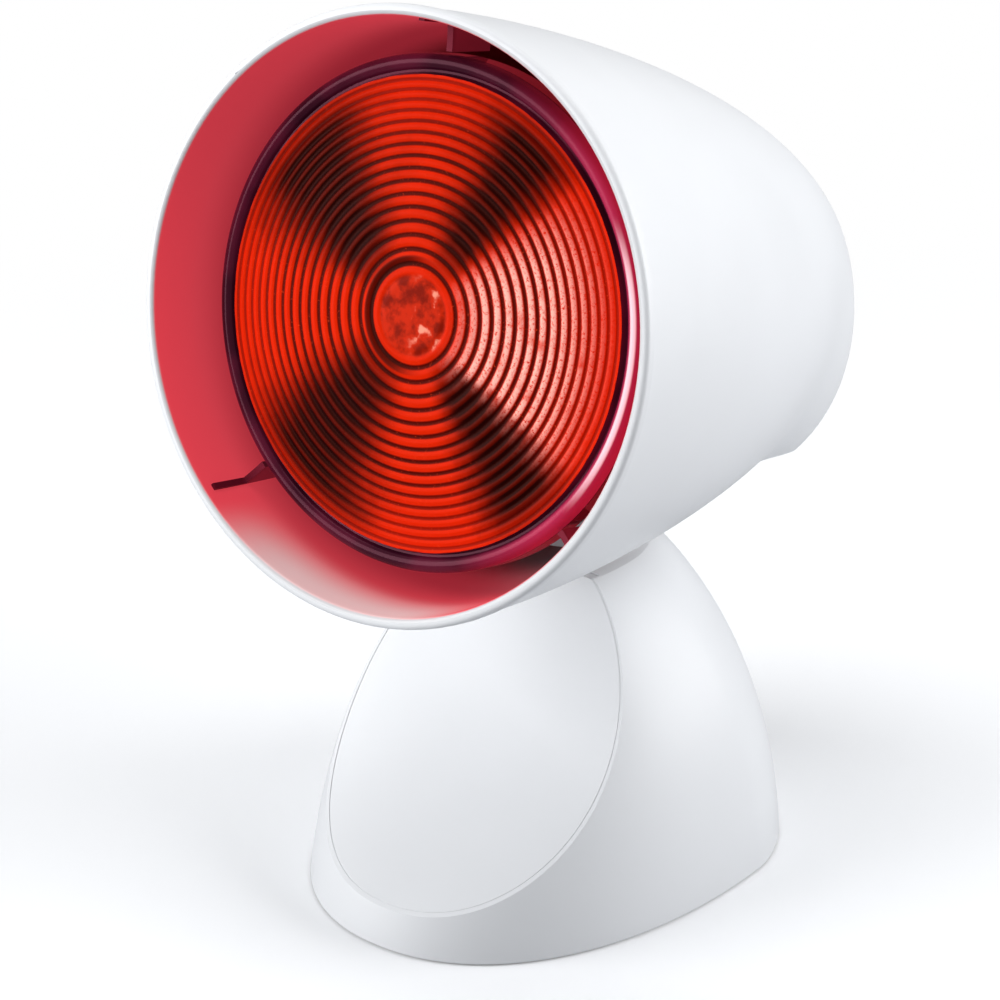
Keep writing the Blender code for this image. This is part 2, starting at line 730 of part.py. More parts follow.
def make_column():
    foot = PLATE_TOP + GAP
    half_width = COLUMN_WIDTH / 2
    half_depth = COLUMN_DEPTH / 2
    column = box(
        "hinge_column",
        (-half_width, PIVOT_BEHIND - half_depth, foot),
        (half_width, PIVOT_BEHIND + half_depth, PIVOT_HEIGHT),
        STAND,
        GREY_NYLON,
    )
    flange = box(
        "column_flange",
        (-COLUMN_FLANGE_WIDTH / 2, PIVOT_BEHIND - COLUMN_FLANGE_DEPTH / 2, foot),
        (
            COLUMN_FLANGE_WIDTH / 2,
            PIVOT_BEHIND + COLUMN_FLANGE_DEPTH / 2,
            foot + COLUMN_FLANGE_THICKNESS,
        ),
        STAND,
    )
    pivot = (0, PIVOT_BEHIND, PIVOT_HEIGHT)
    barrel = cylinder(
        "column_barrel", BARREL_RADIUS, -half_width, half_width, STAND, pivot, ALONG_X, sides=24
    )
    join(column, flange, barrel)
    bore_half_width = half_width - COLUMN_WALL
    bore_half_depth = half_depth - COLUMN_WALL
    channel = box(
        "wire_channel",
        (-bore_half_width, PIVOT_BEHIND - bore_half_depth, -OVERRUN),
        (bore_half_width, PIVOT_BEHIND + bore_half_depth, PIVOT_HEIGHT),
        STAND,
    )
    window_low = foot + COLUMN_FLANGE_THICKNESS
    window = box(
        "wire_window",
        (-bore_half_width, PIVOT_BEHIND - half_depth - OVERRUN, window_low),
        (bore_half_width, PIVOT_BEHIND, window_low + COLUMN_WINDOW_HEIGHT),
        STAND,
    )
    bore = cylinder(
        "hinge_bore",
        PIVOT_TUBE_RADIUS + GAP,
        -half_width - OVERRUN,
        half_width + OVERRUN,
        STAND,
        pivot,
        ALONG_X,
        sides=24,
    )
    cut(column, channel, window, bore)
    for number, (x, y) in enumerate(COLUMN_SCREW_PLACES, 1):
        high = foot + COLUMN_FLANGE_THICKNESS + OVERRUN
        cut(column, screw_hole(f"flange_hole_{number}", STAND, x, y, 0, high))
    return column


def make_cord_inlet():
    flange, body, bore = GLAND_FLANGE_RADIUS, GLAND_BODY_RADIUS, GLAND_BORE_RADIUS
    length = STAND_WALL + 2 * GLAND_FLANGE_THICKNESS
    profile = [
        (body, length),
        (body, 0),
        (flange, 0),
        (flange, -GLAND_FLANGE_THICKNESS),
        (bore, -GLAND_FLANGE_THICKNESS),
        (bore, length),
    ]
    place = (0, gland_seat() + GAP, GLAND_HEIGHT)
    turned("cord_gland", profile, STAND, place, FACE_FORWARD, RUBBER, 24)


def make_cord_clamp():
    low = PLATE_TOP + CLAMP_POST_HEIGHT + GAP
    clamp = box(
        "cord_clamp",
        (-CLAMP_WIDTH / 2, CLAMP_BEHIND - CLAMP_DEPTH / 2, low),
        (CLAMP_WIDTH / 2, CLAMP_BEHIND + CLAMP_DEPTH / 2, low + CLAMP_THICKNESS),
        STAND,
        BLACK_PLASTIC,
    )
    for number, side in enumerate((-1, 1), 1):
        x = side * CLAMP_SCREW_X
        high = low + CLAMP_THICKNESS + OVERRUN
        cut(clamp, screw_hole(f"clamp_hole_{number}", STAND, x, CLAMP_BEHIND, 0, high))
        place = (x, CLAMP_BEHIND, low + CLAMP_THICKNESS + GAP)
        screw_piece(
            f"clamp_screw_{number}", CLAMP_SCREW_LENGTH, STAND, place, (math.pi, 0, 0)
        )


BLOCK_MIDDLE = (
    PIVOT_BEHIND - COLUMN_FLANGE_DEPTH / 2 - BLOCK_DEPTH / 2 - CLAMP_DEPTH
)


def make_terminal_block():
    low = PLATE_TOP + GAP
    block = box(
        "terminal_block",
        (-BLOCK_WIDTH / 2, BLOCK_MIDDLE - BLOCK_DEPTH / 2, low),
        (BLOCK_WIDTH / 2, BLOCK_MIDDLE + BLOCK_DEPTH / 2, low + BLOCK_HEIGHT),
        STAND,
        BLACK_PLASTIC,
    )
    for number, side in enumerate((-1, 1), 1):
        x = side * LEAD_SPACING / 2
        entry = cylinder(
            f"block_entry_{number}",
            BLOCK_ENTRY_RADIUS,
            -BLOCK_DEPTH,
            BLOCK_DEPTH,
            STAND,
            (x, BLOCK_MIDDLE, low + BLOCK_HEIGHT / 2),
            FACE_FORWARD,
            sides=10,
        )
        well = cylinder(
            f"block_well_{number}",
            BLOCK_WELL_RADIUS,
            low + BLOCK_HEIGHT - BLOCK_WELL_DEPTH,
            low + BLOCK_HEIGHT + OVERRUN,
            STAND,
            (x, BLOCK_MIDDLE, 0),
            sides=10,
        )
        cut(block, entry, well)


def make_stand_leads():
    entry_height = PLATE_TOP + GAP + BLOCK_HEIGHT / 2
    top = PIVOT_HEIGHT - LEAD_RADIUS - GAP
    for name, side, finish in (
        ("stand_lead_live", -1, BROWN_WIRE),
        ("stand_lead_neutral", 1, BLUE_WIRE),
    ):
        x = side * LEAD_SPACING / 2
        corners = [
            (x, BLOCK_MIDDLE, entry_height),
            (x, BLOCK_MIDDLE + BLOCK_DEPTH, entry_height),
            (x, PIVOT_BEHIND, entry_height + BLOCK_HEIGHT),
            (x, PIVOT_BEHIND, top),
        ]
        wire(name, rounded_route(corners, LEAD_SPACING), LEAD_RADIUS, STAND, finish)


def make_shade():
    outer = bell_profile(LIP_DEPTH, RIM_RADIUS - LIP_STEP, SHADE_DEPTH, 11)
    lip = []
    for i in range(4):
        angle = math.radians(90) * i / 3
        lip.append(
            (
                RIM_RADIUS - LIP_ROUND + LIP_ROUND * math.sin(angle),
                -LIP_ROUND + LIP_ROUND * math.cos(angle),
            )
        )
    lip.append((RIM_RADIUS, -LIP_DEPTH + LIP_STEP))
    profile = [(0, 0), *lip, *outer]
    place = HEAD_PLACE
    shade = turned(
        "shade", profile, TILT_AXIS, place, FACE_FORWARD, WHITE_PLASTIC, SHADE_STEPS
    )
    hollow = make_shade_hollow()
    join(shade, hood_ball("hood_outside", 0))
    cut(shade, hood_floor("hood_under", 0), hollow)
    slot_low = -RIM_RADIUS - OVERRUN
    slot = box(
        "column_slot",
        (-SLOT_HALF_WIDTH, SLOT_START, slot_low),
        (SLOT_HALF_WIDTH, SLOT_END, -HOOD_FLOOR_DROP + SHADE_WALL + THIN_OVERRUN),
        TILT_AXIS,
        None,
        place,
    )
    cut(shade, slot)
    for i in range(VENT_COUNT):
        up = (i - (VENT_COUNT - 1) / 2) * VENT_PITCH
        vent = box(
            f"vent_{i + 1}",
            (-VENT_WIDTH / 2, SHADE_DEPTH - VENT_DEPTH, up - VENT_HEIGHT / 2),
            (VENT_WIDTH / 2, SHADE_DEPTH + OVERRUN, up + VENT_HEIGHT / 2),
            TILT_AXIS,
            None,
            place,
        )
        cut(shade, vent)
    return shade


def hood_ball(name, inset):
    shape = bmesh.new()
    bmesh.ops.create_uvsphere(shape, u_segments=32, v_segments=16, radius=1)
    reach = (HOOD_HALF_WIDTH - inset, HOOD_RADIUS - inset, HOOD_RADIUS - inset)
    bmesh.ops.scale(shape, vec=reach, verts=shape.verts)
    bmesh.ops.translate(shape, vec=(0, HOOD_BACK, -HOOD_DROP), verts=shape.verts)
    return add_object(name, mesh_from(name, shape), TILT_AXIS, HEAD_PLACE, (0, 0, 0), None)


def hood_floor(name, inset):
    """What lies below the hood's flat floor and behind the bell's step."""
    return box(
        name,
        (-RIM_RADIUS, HOOD_FLOOR_START - inset, -RIM_RADIUS - OVERRUN),
        (RIM_RADIUS, SHADE_DEPTH + OVERRUN, -HOOD_FLOOR_DROP + inset),
        TILT_AXIS,
        None,
        HEAD_PLACE,
    )


def make_shade_hollow():
    """The space inside the shade, less the fins and posts that stay in it."""
    inner_radius = RIM_RADIUS - LIP_WIDTH
    inner = bell_profile(
        LIP_ROUND, RIM_RADIUS - LIP_STEP - SHADE_WALL, SHADE_DEPTH - SHADE_WALL, 8
    )
    mouth = []
    for i in range(4):
        angle = math.radians(90) * i / 3
        mouth.append(
            (
                inner_radius + LIP_ROUND - LIP_ROUND * math.sin(angle),
                -LIP_ROUND + LIP_ROUND * math.cos(angle),
            )
        )
    profile = [(0, OVERRUN), (mouth[0][0], OVERRUN), *mouth, *inner[1:]]
    hollow = turned(
        "shade_hollow", profile, TILT_AXIS, HEAD_PLACE, FACE_FORWARD, None, SHADE_STEPS
    )
    join(hollow, hood_ball("hood_inside", SHADE_WALL))
    cut(hollow, hood_floor("hood_under_inside", SHADE_WALL))
    for number, place in enumerate((-1, 0, 1), 1):
        cut(hollow, fin_form(f"fin_{number}", FIN_ROLL + place * FIN_SPREAD))
    for number, side in enumerate((-1, 1), 1):
        top = -BRACKET_DROP - BRACKET_SHEET - GAP
        place = (side * EAR_SCREW_X, EAR_SCREW_BACK - RIM_AHEAD, AXIS_ABOVE)
        post = cylinder(
            f"ear_post_{number}", EAR_POST_RADIUS, -RIM_RADIUS, top, TILT_AXIS, place, sides=10
        )
        hole = cylinder(
            f"ear_post_hole_{number}",
            SCREW_RADIUS + GAP,
            top - EAR_SCREW_LENGTH,
            top + OVERRUN,
            TILT_AXIS,
            place,
            sides=10,
        )
        cut(hollow, cut(post, hole))
    return hollow


def fin_form(name, turn):
    """A flat fin in a plane through the lamp's axis, turned about it from straight up."""
    inner = BULB_RIM_RADIUS + FIN_CLEARANCE
    outer = RIM_RADIUS
    curve = []
    for i in range(5):
        angle = math.radians(90) * i / 4
        curve.append(
            (
                FIN_FRONT + FIN_SLOPE * math.sin(angle),
                inner + (outer - inner) * (math.cos(angle)),
            )
        )
    outline = [*curve, (FIN_BACK, inner), (FIN_BACK, outer)]
    obj = extruded(name, outline, FIN_THICKNESS, TILT_AXIS, HEAD_PLACE, (0, 0, 0))
    obj.data.transform(Matrix.Rotation(turn, 4, "Y") @ UPRIGHT)
    return obj


def reflector_radius(back):
    """The reflector's outer radius behind its rim, from its dish to its throat."""
    rim_end = BULB_RIM_BACK + REFLECTOR_RIM_LENGTH / 2
    tip = rim_end + REFLECTOR_DISH_RADIUS**2 / (4 * REFLECTOR_FOCUS)
    return math.sqrt(4 * REFLECTOR_FOCUS * (tip - back))


def reflector_outline(inset, start, count):
    """Points (radius, -back) down the bulb's glass body, drawn in by the inset."""
    rim_end = BULB_RIM_BACK + REFLECTOR_RIM_LENGTH / 2
    points = [(BULB_RIM_RADIUS - inset, -start), (BULB_RIM_RADIUS - inset, -rim_end)]
    for i in range(1, count + 1):
        back = rim_end + REFLECTOR_DISH_DEPTH * i / count
        points.append((reflector_radius(back) - inset, -back))
    points.append((BULB_NECK_RADIUS - inset, -(BULB_NECK_END - BULB_NECK_RADIUS / 2)))
    points.append((BULB_NECK_RADIUS - inset, -BULB_NECK_END))
    points.append((BULB_COLLAR_RADIUS - inset, -(CAP_START - GAP)))
    return points


def make_reflector():
    outer = reflector_outline(0, BULB_RIM_BACK + GAP, 6)
    inner = reflector_outline(GLASS_WALL, BULB_RIM_BACK + GAP, 6)
    profile = [*reversed(inner), *outer]
    return turned(
        "bulb_reflector", profile, BULB_AXIS, (0, 0, 0), FACE_FORWARD, DARK_RED_GLASS, 36
    )


def lens_front(radius):
    """How far behind the shade's rim the lens's front lies at this radius."""
    share = radius / LENS_RADIUS
    return LENS_EDGE_BACK - LENS_RISE * (1 - share**2)


def make_lens():
    count = 4
    front = []
    back = []
    for i in range(count + 1):
        radius = LENS_RADIUS * i / count
        front.append((radius, -lens_front(radius)))
        radius = (LENS_RADIUS - GLASS_WALL) * i / count
        back.append((radius, -lens_front(radius) - LENS_THICKNESS))
    seat = [(BULB_RIM_RADIUS, -BULB_RIM_BACK), (BULB_RIM_RADIUS - GLASS_WALL, -BULB_RIM_BACK)]
    profile = [*front, *seat, *reversed(back)]
    return turned("bulb_lens", profile, BULB_AXIS, (0, 0, 0), FACE_FORWARD, RED_GLASS, 36)


def make_cap():
    inner = CAP_RADIUS - CAP_WALL
    shell_end = CAP_END - CAP_INSULATOR_LENGTH
    profile = [
        (inner, -CAP_START),
        (CAP_RADIUS, -CAP_START),
        (CAP_RADIUS, -shell_end),
        (inner, -shell_end),
    ]
    turned("bulb_cap", profile, BULB_AXIS, (0, 0, 0), FACE_FORWARD, BRASS, 28)
    insulator_end = CAP_END - CAP_CONTACT_LENGTH - GAP
    disc = [
        (0, -(shell_end - CAP_INSULATOR_LENGTH / 2)),
        (inner - GAP, -(shell_end - CAP_INSULATOR_LENGTH / 2)),
        (inner - GAP, -shell_end),
        (CAP_CONTACT_RADIUS, -insulator_end),
        (0, -insulator_end),
    ]
    turned("cap_insulator", disc, BULB_AXIS, (0, 0, 0), FACE_FORWARD, BLACK_PLASTIC, 24)
    button = [
        (0, -(CAP_END - CAP_CONTACT_LENGTH)),
        (CAP_CONTACT_RADIUS - GAP, -(CAP_END - CAP_CONTACT_LENGTH)),
        (CAP_CONTACT_RADIUS / 2, -CAP_END),
        (0, -CAP_END),
    ]
    turned("cap_contact", button, BULB_AXIS, (0, 0, 0), FACE_FORWARD, BRASS, 16)


def make_filament():
    turns = 5
    per_turn = 6
    swing = FILAMENT_COIL_RADIUS
    points = []
    for i in range(turns * per_turn + 1):
        angle = 2 * math.pi * i / per_turn
        x = -FILAMENT_HALF_WIDTH + 2 * FILAMENT_HALF_WIDTH * i / (turns * per_turn)
        points.append((x, FILAMENT_BACK + swing * math.cos(angle), swing * math.sin(angle)))
    wire("filament", points, FILAMENT_WIRE_RADIUS, BULB_AXIS, TUNGSTEN)
    insulator = CAP_END - CAP_INSULATOR_LENGTH - CAP_INSULATOR_LENGTH / 2
    for number, side in enumerate((-1, 1), 1):
        reach = side * (FILAMENT_HALF_WIDTH + SUPPORT_RADIUS + FILAMENT_WIRE_RADIUS + GAP)
        corners = [
            (reach, FILAMENT_BACK - SUPPORT_SPACING / 2, 0),
            (reach, FILAMENT_BACK + SUPPORT_SPACING, 0),
            (side * SUPPORT_SPACING, BULB_NECK_END, 0),
            (side * SUPPORT_SPACING, insulator - GAP, 0),
        ]
        route = rounded_route(corners, SUPPORT_SPACING / 2, 2)
        wire(f"filament_support_{number}", route, SUPPORT_RADIUS, BULB_AXIS, ZINC_STEEL)


def make_lampholder():
    thread_inner = CAP_RADIUS + HOLDER_THREAD_GAP
    thread_outer = thread_inner + HOLDER_THREAD_WALL
    well = thread_outer + GAP
    floor = HOLDER_END - HOLDER_FLOOR
    body = turned(
        "lampholder",
        [
            (0, -floor),
            (well, -floor),
            (well, -HOLDER_START),
            (HOLDER_RADIUS, -HOLDER_START),
            (HOLDER_RADIUS, -HOLDER_END),
            (0, -HOLDER_END),
        ],
        TILT_AXIS,
        HEAD_PLACE,
        FACE_FORWARD,
        CERAMIC,
        32,
    )
    turned(
        "holder_thread",
        [
            (thread_outer, -(HOLDER_START + HOLDER_THREAD_WALL)),
            (thread_outer, -(floor - GAP)),
            (thread_inner, -(floor - GAP)),
            (thread_inner, -(HOLDER_START + HOLDER_THREAD_WALL)),
        ],
        TILT_AXIS,
        HEAD_PLACE,
        FACE_FORWARD,
        BRASS,
        28,
    )
    for number, side in enumerate((-1, 1), 1):
        place = (side * HOLDER_SCREW_X, -RIM_AHEAD, AXIS_ABOVE)
        hole = cylinder(
            f"holder_hole_{number}",
            SCREW_RADIUS + GAP,
            -HOLDER_END - OVERRUN,
            -floor + OVERRUN,
            TILT_AXIS,
            place,
            FACE_FORWARD,
            sides=10,
        )
        cut(body, hole)
    low = floor - GAP - TONGUE_THICKNESS
    tongue = box(
        "centre_contact",
        (-TONGUE_WIDTH / 2, low, -TONGUE_LENGTH / 2),
        (TONGUE_WIDTH / 2, low + TONGUE_THICKNESS, TONGUE_LENGTH / 2),
        TILT_AXIS,
        BRASS,
        HEAD_PLACE,
    )
    rise = box(
        "tongue_rise",
        (-TONGUE_WIDTH / 2, CAP_END + GAP, -TONGUE_WIDTH / 2),
        (TONGUE_WIDTH / 2, low + THIN_OVERRUN / 2, TONGUE_WIDTH / 2),
        TILT_AXIS,
        None,
        HEAD_PLACE,
    )
    join(tongue, rise)


def make_bracket():
    top = -BRACKET_DROP
    under = top - BRACKET_SHEET
    rear = HOLDER_END + GAP
    half_width = BRACKET_HALF_WIDTH - BEND_INSET
    bracket = box(
        "head_bracket",
        (-half_width, RIM_AHEAD - CHEEK_WIDTH / 2 - BEND_INSET, under),
        (half_width, BRACKET_STEP_BACK, top),
        TILT_AXIS,
        ZINC_STEEL,
        HEAD_PLACE,
    )
    tail = box(
        "bracket_tail",
        (-BRACKET_REAR_HALF_WIDTH, BRACKET_STEP_BACK - OVERRUN, under),
        (BRACKET_REAR_HALF_WIDTH, rear + BRACKET_SHEET, top),
        TILT_AXIS,
        None,
        HEAD_PLACE,
    )
    back_plate = box(
        "bracket_back",
        (-BRACKET_REAR_HALF_WIDTH, rear, under),
        (BRACKET_REAR_HALF_WIDTH, rear + BRACKET_SHEET, BRACKET_REAR_TOP),
        TILT_AXIS,
        None,
        HEAD_PLACE,
    )
    ears = box(
        "bracket_ears",
        (-EAR_REACH, EAR_START, under),
        (EAR_REACH, EAR_END, top),
        TILT_AXIS,
        None,
        HEAD_PLACE,
    )
    join(bracket, tail, back_plate, ears)
    for number, side in enumerate((-1, 1), 1):
        join(bracket, cheek_form(f"cheek_{number}", side))
    reach = BRACKET_HALF_WIDTH + OVERRUN
    cut(
        bracket,
        cylinder(
            "cheek_bore",
            PIVOT_TUBE_RADIUS + GAP,
            -reach,
            reach,
            TILT_AXIS,
            (0, 0, 0),
            ALONG_X,
            sides=24,
        ),
    )
    for number, side in enumerate((-1, 1), 1):
        place = (side * EAR_SCREW_X, EAR_SCREW_BACK - RIM_AHEAD, AXIS_ABOVE)
        cut(
            bracket,
            cylinder(
                f"ear_hole_{number}",
                SCREW_RADIUS + GAP,
                under - OVERRUN,
                top + OVERRUN,
                TILT_AXIS,
                place,
                sides=10,
            ),
            cylinder(
                f"back_hole_{number}",
                SCREW_RADIUS + GAP,
                -(rear + OVERRUN),
                -(rear - OVERRUN),
                TILT_AXIS,
                (side * HOLDER_SCREW_X, -RIM_AHEAD, AXIS_ABOVE),
                FACE_FORWARD,
                sides=10,
            ),
        )
        seat = (side * EAR_SCREW_X, EAR_SCREW_BACK - RIM_AHEAD, AXIS_ABOVE + top + GAP)
        screw_piece(f"bracket_screw_{number}", EAR_SCREW_LENGTH, TILT_AXIS, seat, (math.pi, 0, 0))
        behind = rear + BRACKET_SHEET + GAP - RIM_AHEAD
        screw_piece(
            f"holder_screw_{number}",
            HOLDER_SCREW_LENGTH,
            TILT_AXIS,
            (side * HOLDER_SCREW_X, behind, AXIS_ABOVE),
            FACE_FORWARD,
        )
    cut(
        bracket,
        cylinder(
            "detent_screw_way",
            SCREW_RADIUS + GAP,
            AXIS_ABOVE + under - OVERRUN,
            AXIS_ABOVE + top + OVERRUN,
            TILT_AXIS,
            (detent_middle(), DETENT_SCREW_BACK, 0),
            sides=10,
        ),
    )
    return bracket


def cheek_form(name, side):
    """A flat cheek with a round lower end about the hinge, its upper edge inside the bracket's sheet."""
    radius = CHEEK_WIDTH / 2
    top = AXIS_ABOVE - BRACKET_DROP - BRACKET_SHEET / 2
    outline = [(radius, top), (-radius, top)]
    steps = 12
    for i in range(steps + 1):
        angle = math.pi * i / steps
        outline.append((-radius * math.cos(angle), -radius * math.sin(angle)))
    place = (side * (BRACKET_HALF_WIDTH - BRACKET_SHEET / 2), 0, 0)
    obj = extruded(name, outline, BRACKET_SHEET, TILT_AXIS, place, (0, 0, 0))
    obj.data.transform(UPRIGHT)
    return obj


def detent_middle():
    """Where the detent ring's middle lies along the hinge."""
    return COLUMN_WIDTH / 2 + GAP + DETENT_RING_THICKNESS / 2


def make_hinge_hardware():
    tube = turned(
        "pivot_tube",
        [
            (PIVOT_TUBE_RADIUS, PIVOT_TUBE_HALF_LENGTH),
            (PIVOT_TUBE_RADIUS, -PIVOT_TUBE_HALF_LENGTH),
            (PIVOT_TUBE_BORE_RADIUS, -PIVOT_TUBE_HALF_LENGTH),
            (PIVOT_TUBE_BORE_RADIUS, PIVOT_TUBE_HALF_LENGTH),
        ],
        TILT_AXIS,
        (0, 0, 0),
        ALONG_X,
        ZINC_STEEL,
        24,
    )
    slot_half = LEAD_SPACING / 2 + LEAD_RADIUS + GAP
    slot_side = PIVOT_TUBE_RADIUS + OVERRUN
    wire_slot = box(
        "tube_wire_slot",
        (-slot_half, -slot_side, -slot_side),
        (slot_half, slot_side, -LEAD_RADIUS - GAP),
        TILT_AXIS,
    )
    cut(tube, wire_slot)
    bore = PIVOT_TUBE_RADIUS + GAP
    for number, side in enumerate((-1, 1), 1):
        nut = cylinder(
            f"pivot_nut_{number}",
            NUT_ACROSS_CORNERS_RADIUS,
            0,
            NUT_THICKNESS,
            TILT_AXIS,
            (side * (BRACKET_HALF_WIDTH + GAP), 0, 0),
            (0, side * math.radians(90), 0),
            ZINC_STEEL,
            6,
        )
        cut(
            nut,
            cylinder(
                f"nut_bore_{number}",
                bore,
                -PIVOT_TUBE_HALF_LENGTH - OVERRUN,
                PIVOT_TUBE_HALF_LENGTH + OVERRUN,
                TILT_AXIS,
                (0, 0, 0),
                ALONG_X,
                sides=24,
            ),
        )
    washer_ring("pivot_washer_1", CHEEK_FACE - GAP - WASHER_THICKNESS, WASHER_THICKNESS)
    washer_ring("pivot_washer_2", GAP - CHEEK_FACE, WASHER_THICKNESS)
    spring_start = -(COLUMN_WIDTH / 2 + GAP + DETENT_RING_THICKNESS)
    washer_ring("spring_washer", spring_start, DETENT_RING_THICKNESS)


def washer_ring(name, start, thickness):
    bore = PIVOT_TUBE_RADIUS + GAP
    profile = [
        (WASHER_RADIUS, start + thickness),
        (WASHER_RADIUS, start),
        (bore, start),
        (bore, start + thickness),
    ]
    return turned(name, profile, TILT_AXIS, (0, 0, 0), ALONG_X, ZINC_STEEL, 24)


def make_detent():
    low = COLUMN_WIDTH / 2 + GAP
    bore = PIVOT_TUBE_RADIUS + GAP
    profile = [
        (DETENT_RING_RADIUS, low + DETENT_RING_THICKNESS),
        (DETENT_RING_RADIUS, low),
        (bore, low),
        (bore, low + DETENT_RING_THICKNESS),
    ]
    pivot = (0, PIVOT_BEHIND, PIVOT_HEIGHT)
    ring = turned("detent_ring", profile, STAND, pivot, ALONG_X, ZINC_STEEL, 40)
    for i in range(DETENT_COUNT):
        angle = REST_TILT + (i - DETENT_BELOW_REST) * DETENT_STEP
        y = PIVOT_BEHIND + DETENT_RING_RADIUS * math.sin(angle)
        z = PIVOT_HEIGHT + DETENT_RING_RADIUS * math.cos(angle)
        notch = cylinder(
            f"notch_{i + 1}",
            DETENT_NOTCH_RADIUS,
            low - OVERRUN,
            low + OVERRUN,
            STAND,
            (0, y, z),
            ALONG_X,
            sides=10,
        )
        cut(ring, notch)
    under = -BRACKET_DROP - BRACKET_SHEET - GAP + AXIS_ABOVE
    thickness = DETENT_SPRING_THICKNESS
    half = DETENT_SPRING_WIDTH / 2
    middle = detent_middle()
    screw_y = DETENT_SCREW_BACK
    pad = SCREW_HEAD_RADIUS
    outline = [
        (-half, -DETENT_NOSE_RADIUS * 2),
        (half, -DETENT_NOSE_RADIUS * 2),
        (half, screw_y - pad),
        (pad, screw_y - pad),
        (pad, screw_y + pad),
        (-pad, screw_y + pad),
        (-pad, screw_y - pad),
        (-half, screw_y - pad),
    ]
    place = (middle, 0, under - thickness / 2)
    spring = extruded(
        "detent_spring", outline, thickness, TILT_AXIS, place, (0, 0, 0), ZINC_STEEL
    )
    nose_height = DETENT_RING_RADIUS + GAP
    leg = box(
        "detent_leg",
        (
            middle - half + DETENT_LEG_INSET,
            -DETENT_NOSE_RADIUS / 2,
            nose_height + DETENT_NOSE_RADIUS,
        ),
        (middle + half - DETENT_LEG_INSET, DETENT_NOSE_RADIUS / 2, under - thickness / 2),
        TILT_AXIS,
    )
    nose = cylinder(
        "detent_nose",
        DETENT_NOSE_RADIUS,
        middle - half,
        middle + half,
        TILT_AXIS,
        (0, 0, nose_height + DETENT_NOSE_RADIUS),
        ALONG_X,
        sides=10,
    )
    join(spring, leg, nose)
    hole = cylinder(
        "detent_spring_hole",
        SCREW_RADIUS + GAP,
        under - OVERRUN,
        under + OVERRUN,
        TILT_AXIS,
        (middle, screw_y, 0),
        sides=10,
    )
    cut(spring, hole)
    place = (middle, screw_y, under - thickness - GAP)
    screw_piece("detent_screw", DETENT_SCREW_LENGTH, TILT_AXIS, place, (0, 0, 0))


def make_head_leads():
    """Each lead leaves its own end of the pivot tube and rises to its side of the lampholder.

    Its first stretch lies on the hinge axis, so that it turns in its place above the stand's lead.
    """
    for name, side, finish in (
        ("head_lead_live", -1, BROWN_WIRE),
        ("head_lead_neutral", 1, BLUE_WIRE),
    ):
        start = side * (LEAD_SPACING / 2 - LEAD_RADIUS)
        outward = side * (PIVOT_TUBE_HALF_LENGTH + LEAD_SPACING)
        along = (HOLDER_START + HOLDER_END) / 2 - RIM_AHEAD
        corners = [
            (start, 0, 0),
            (outward, 0, 0),
            (outward, -LEAD_SPACING, AXIS_ABOVE - BRACKET_DROP / 2),
            (outward, along, AXIS_ABOVE),
            (side * (HOLDER_RADIUS + GAP), along, AXIS_ABOVE),
        ]
        wire(name, rounded_route(corners, LEAD_SPACING / 2, 3), LEAD_RADIUS, TILT_AXIS, finish)


def build():
    make_shell()
    make_front_panel()
    make_base_plate()
    make_feet()
    make_stand_screws()
    make_column()
    make_cord_inlet()
    make_cord_clamp()
    make_terminal_block()
    make_stand_leads()
    make_detent()
    make_shade()
    make_bracket()
    make_lampholder()
    make_hinge_hardware()
    make_head_leads()
    make_reflector()
    make_lens()
    make_cap()
    make_filament()


build()
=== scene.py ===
import json
import math

import bmesh
import bpy
from mathutils import Matrix, Vector
from mathutils.bvhtree import BVHTree
from mathutils.interpolate import poly_3d_calc


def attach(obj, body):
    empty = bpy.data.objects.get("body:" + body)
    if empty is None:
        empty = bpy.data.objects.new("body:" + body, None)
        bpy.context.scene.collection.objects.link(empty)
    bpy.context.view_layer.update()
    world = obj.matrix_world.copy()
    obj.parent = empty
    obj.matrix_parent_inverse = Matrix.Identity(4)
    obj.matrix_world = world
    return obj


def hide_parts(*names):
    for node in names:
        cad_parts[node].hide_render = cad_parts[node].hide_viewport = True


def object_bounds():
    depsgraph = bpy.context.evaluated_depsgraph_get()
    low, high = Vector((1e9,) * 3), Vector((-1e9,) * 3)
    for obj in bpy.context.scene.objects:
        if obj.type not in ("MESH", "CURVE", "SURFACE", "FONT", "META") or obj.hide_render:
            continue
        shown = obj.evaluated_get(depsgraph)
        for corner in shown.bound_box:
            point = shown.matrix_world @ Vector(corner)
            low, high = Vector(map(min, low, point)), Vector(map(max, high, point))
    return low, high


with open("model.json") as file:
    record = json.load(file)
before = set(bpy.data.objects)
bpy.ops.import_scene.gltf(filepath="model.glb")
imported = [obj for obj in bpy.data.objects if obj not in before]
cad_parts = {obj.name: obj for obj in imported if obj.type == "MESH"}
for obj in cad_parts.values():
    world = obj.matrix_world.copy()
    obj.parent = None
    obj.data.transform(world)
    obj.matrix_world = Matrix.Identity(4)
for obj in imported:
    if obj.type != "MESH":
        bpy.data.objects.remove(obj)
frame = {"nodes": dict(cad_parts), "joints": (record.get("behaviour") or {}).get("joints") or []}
cad_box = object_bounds()

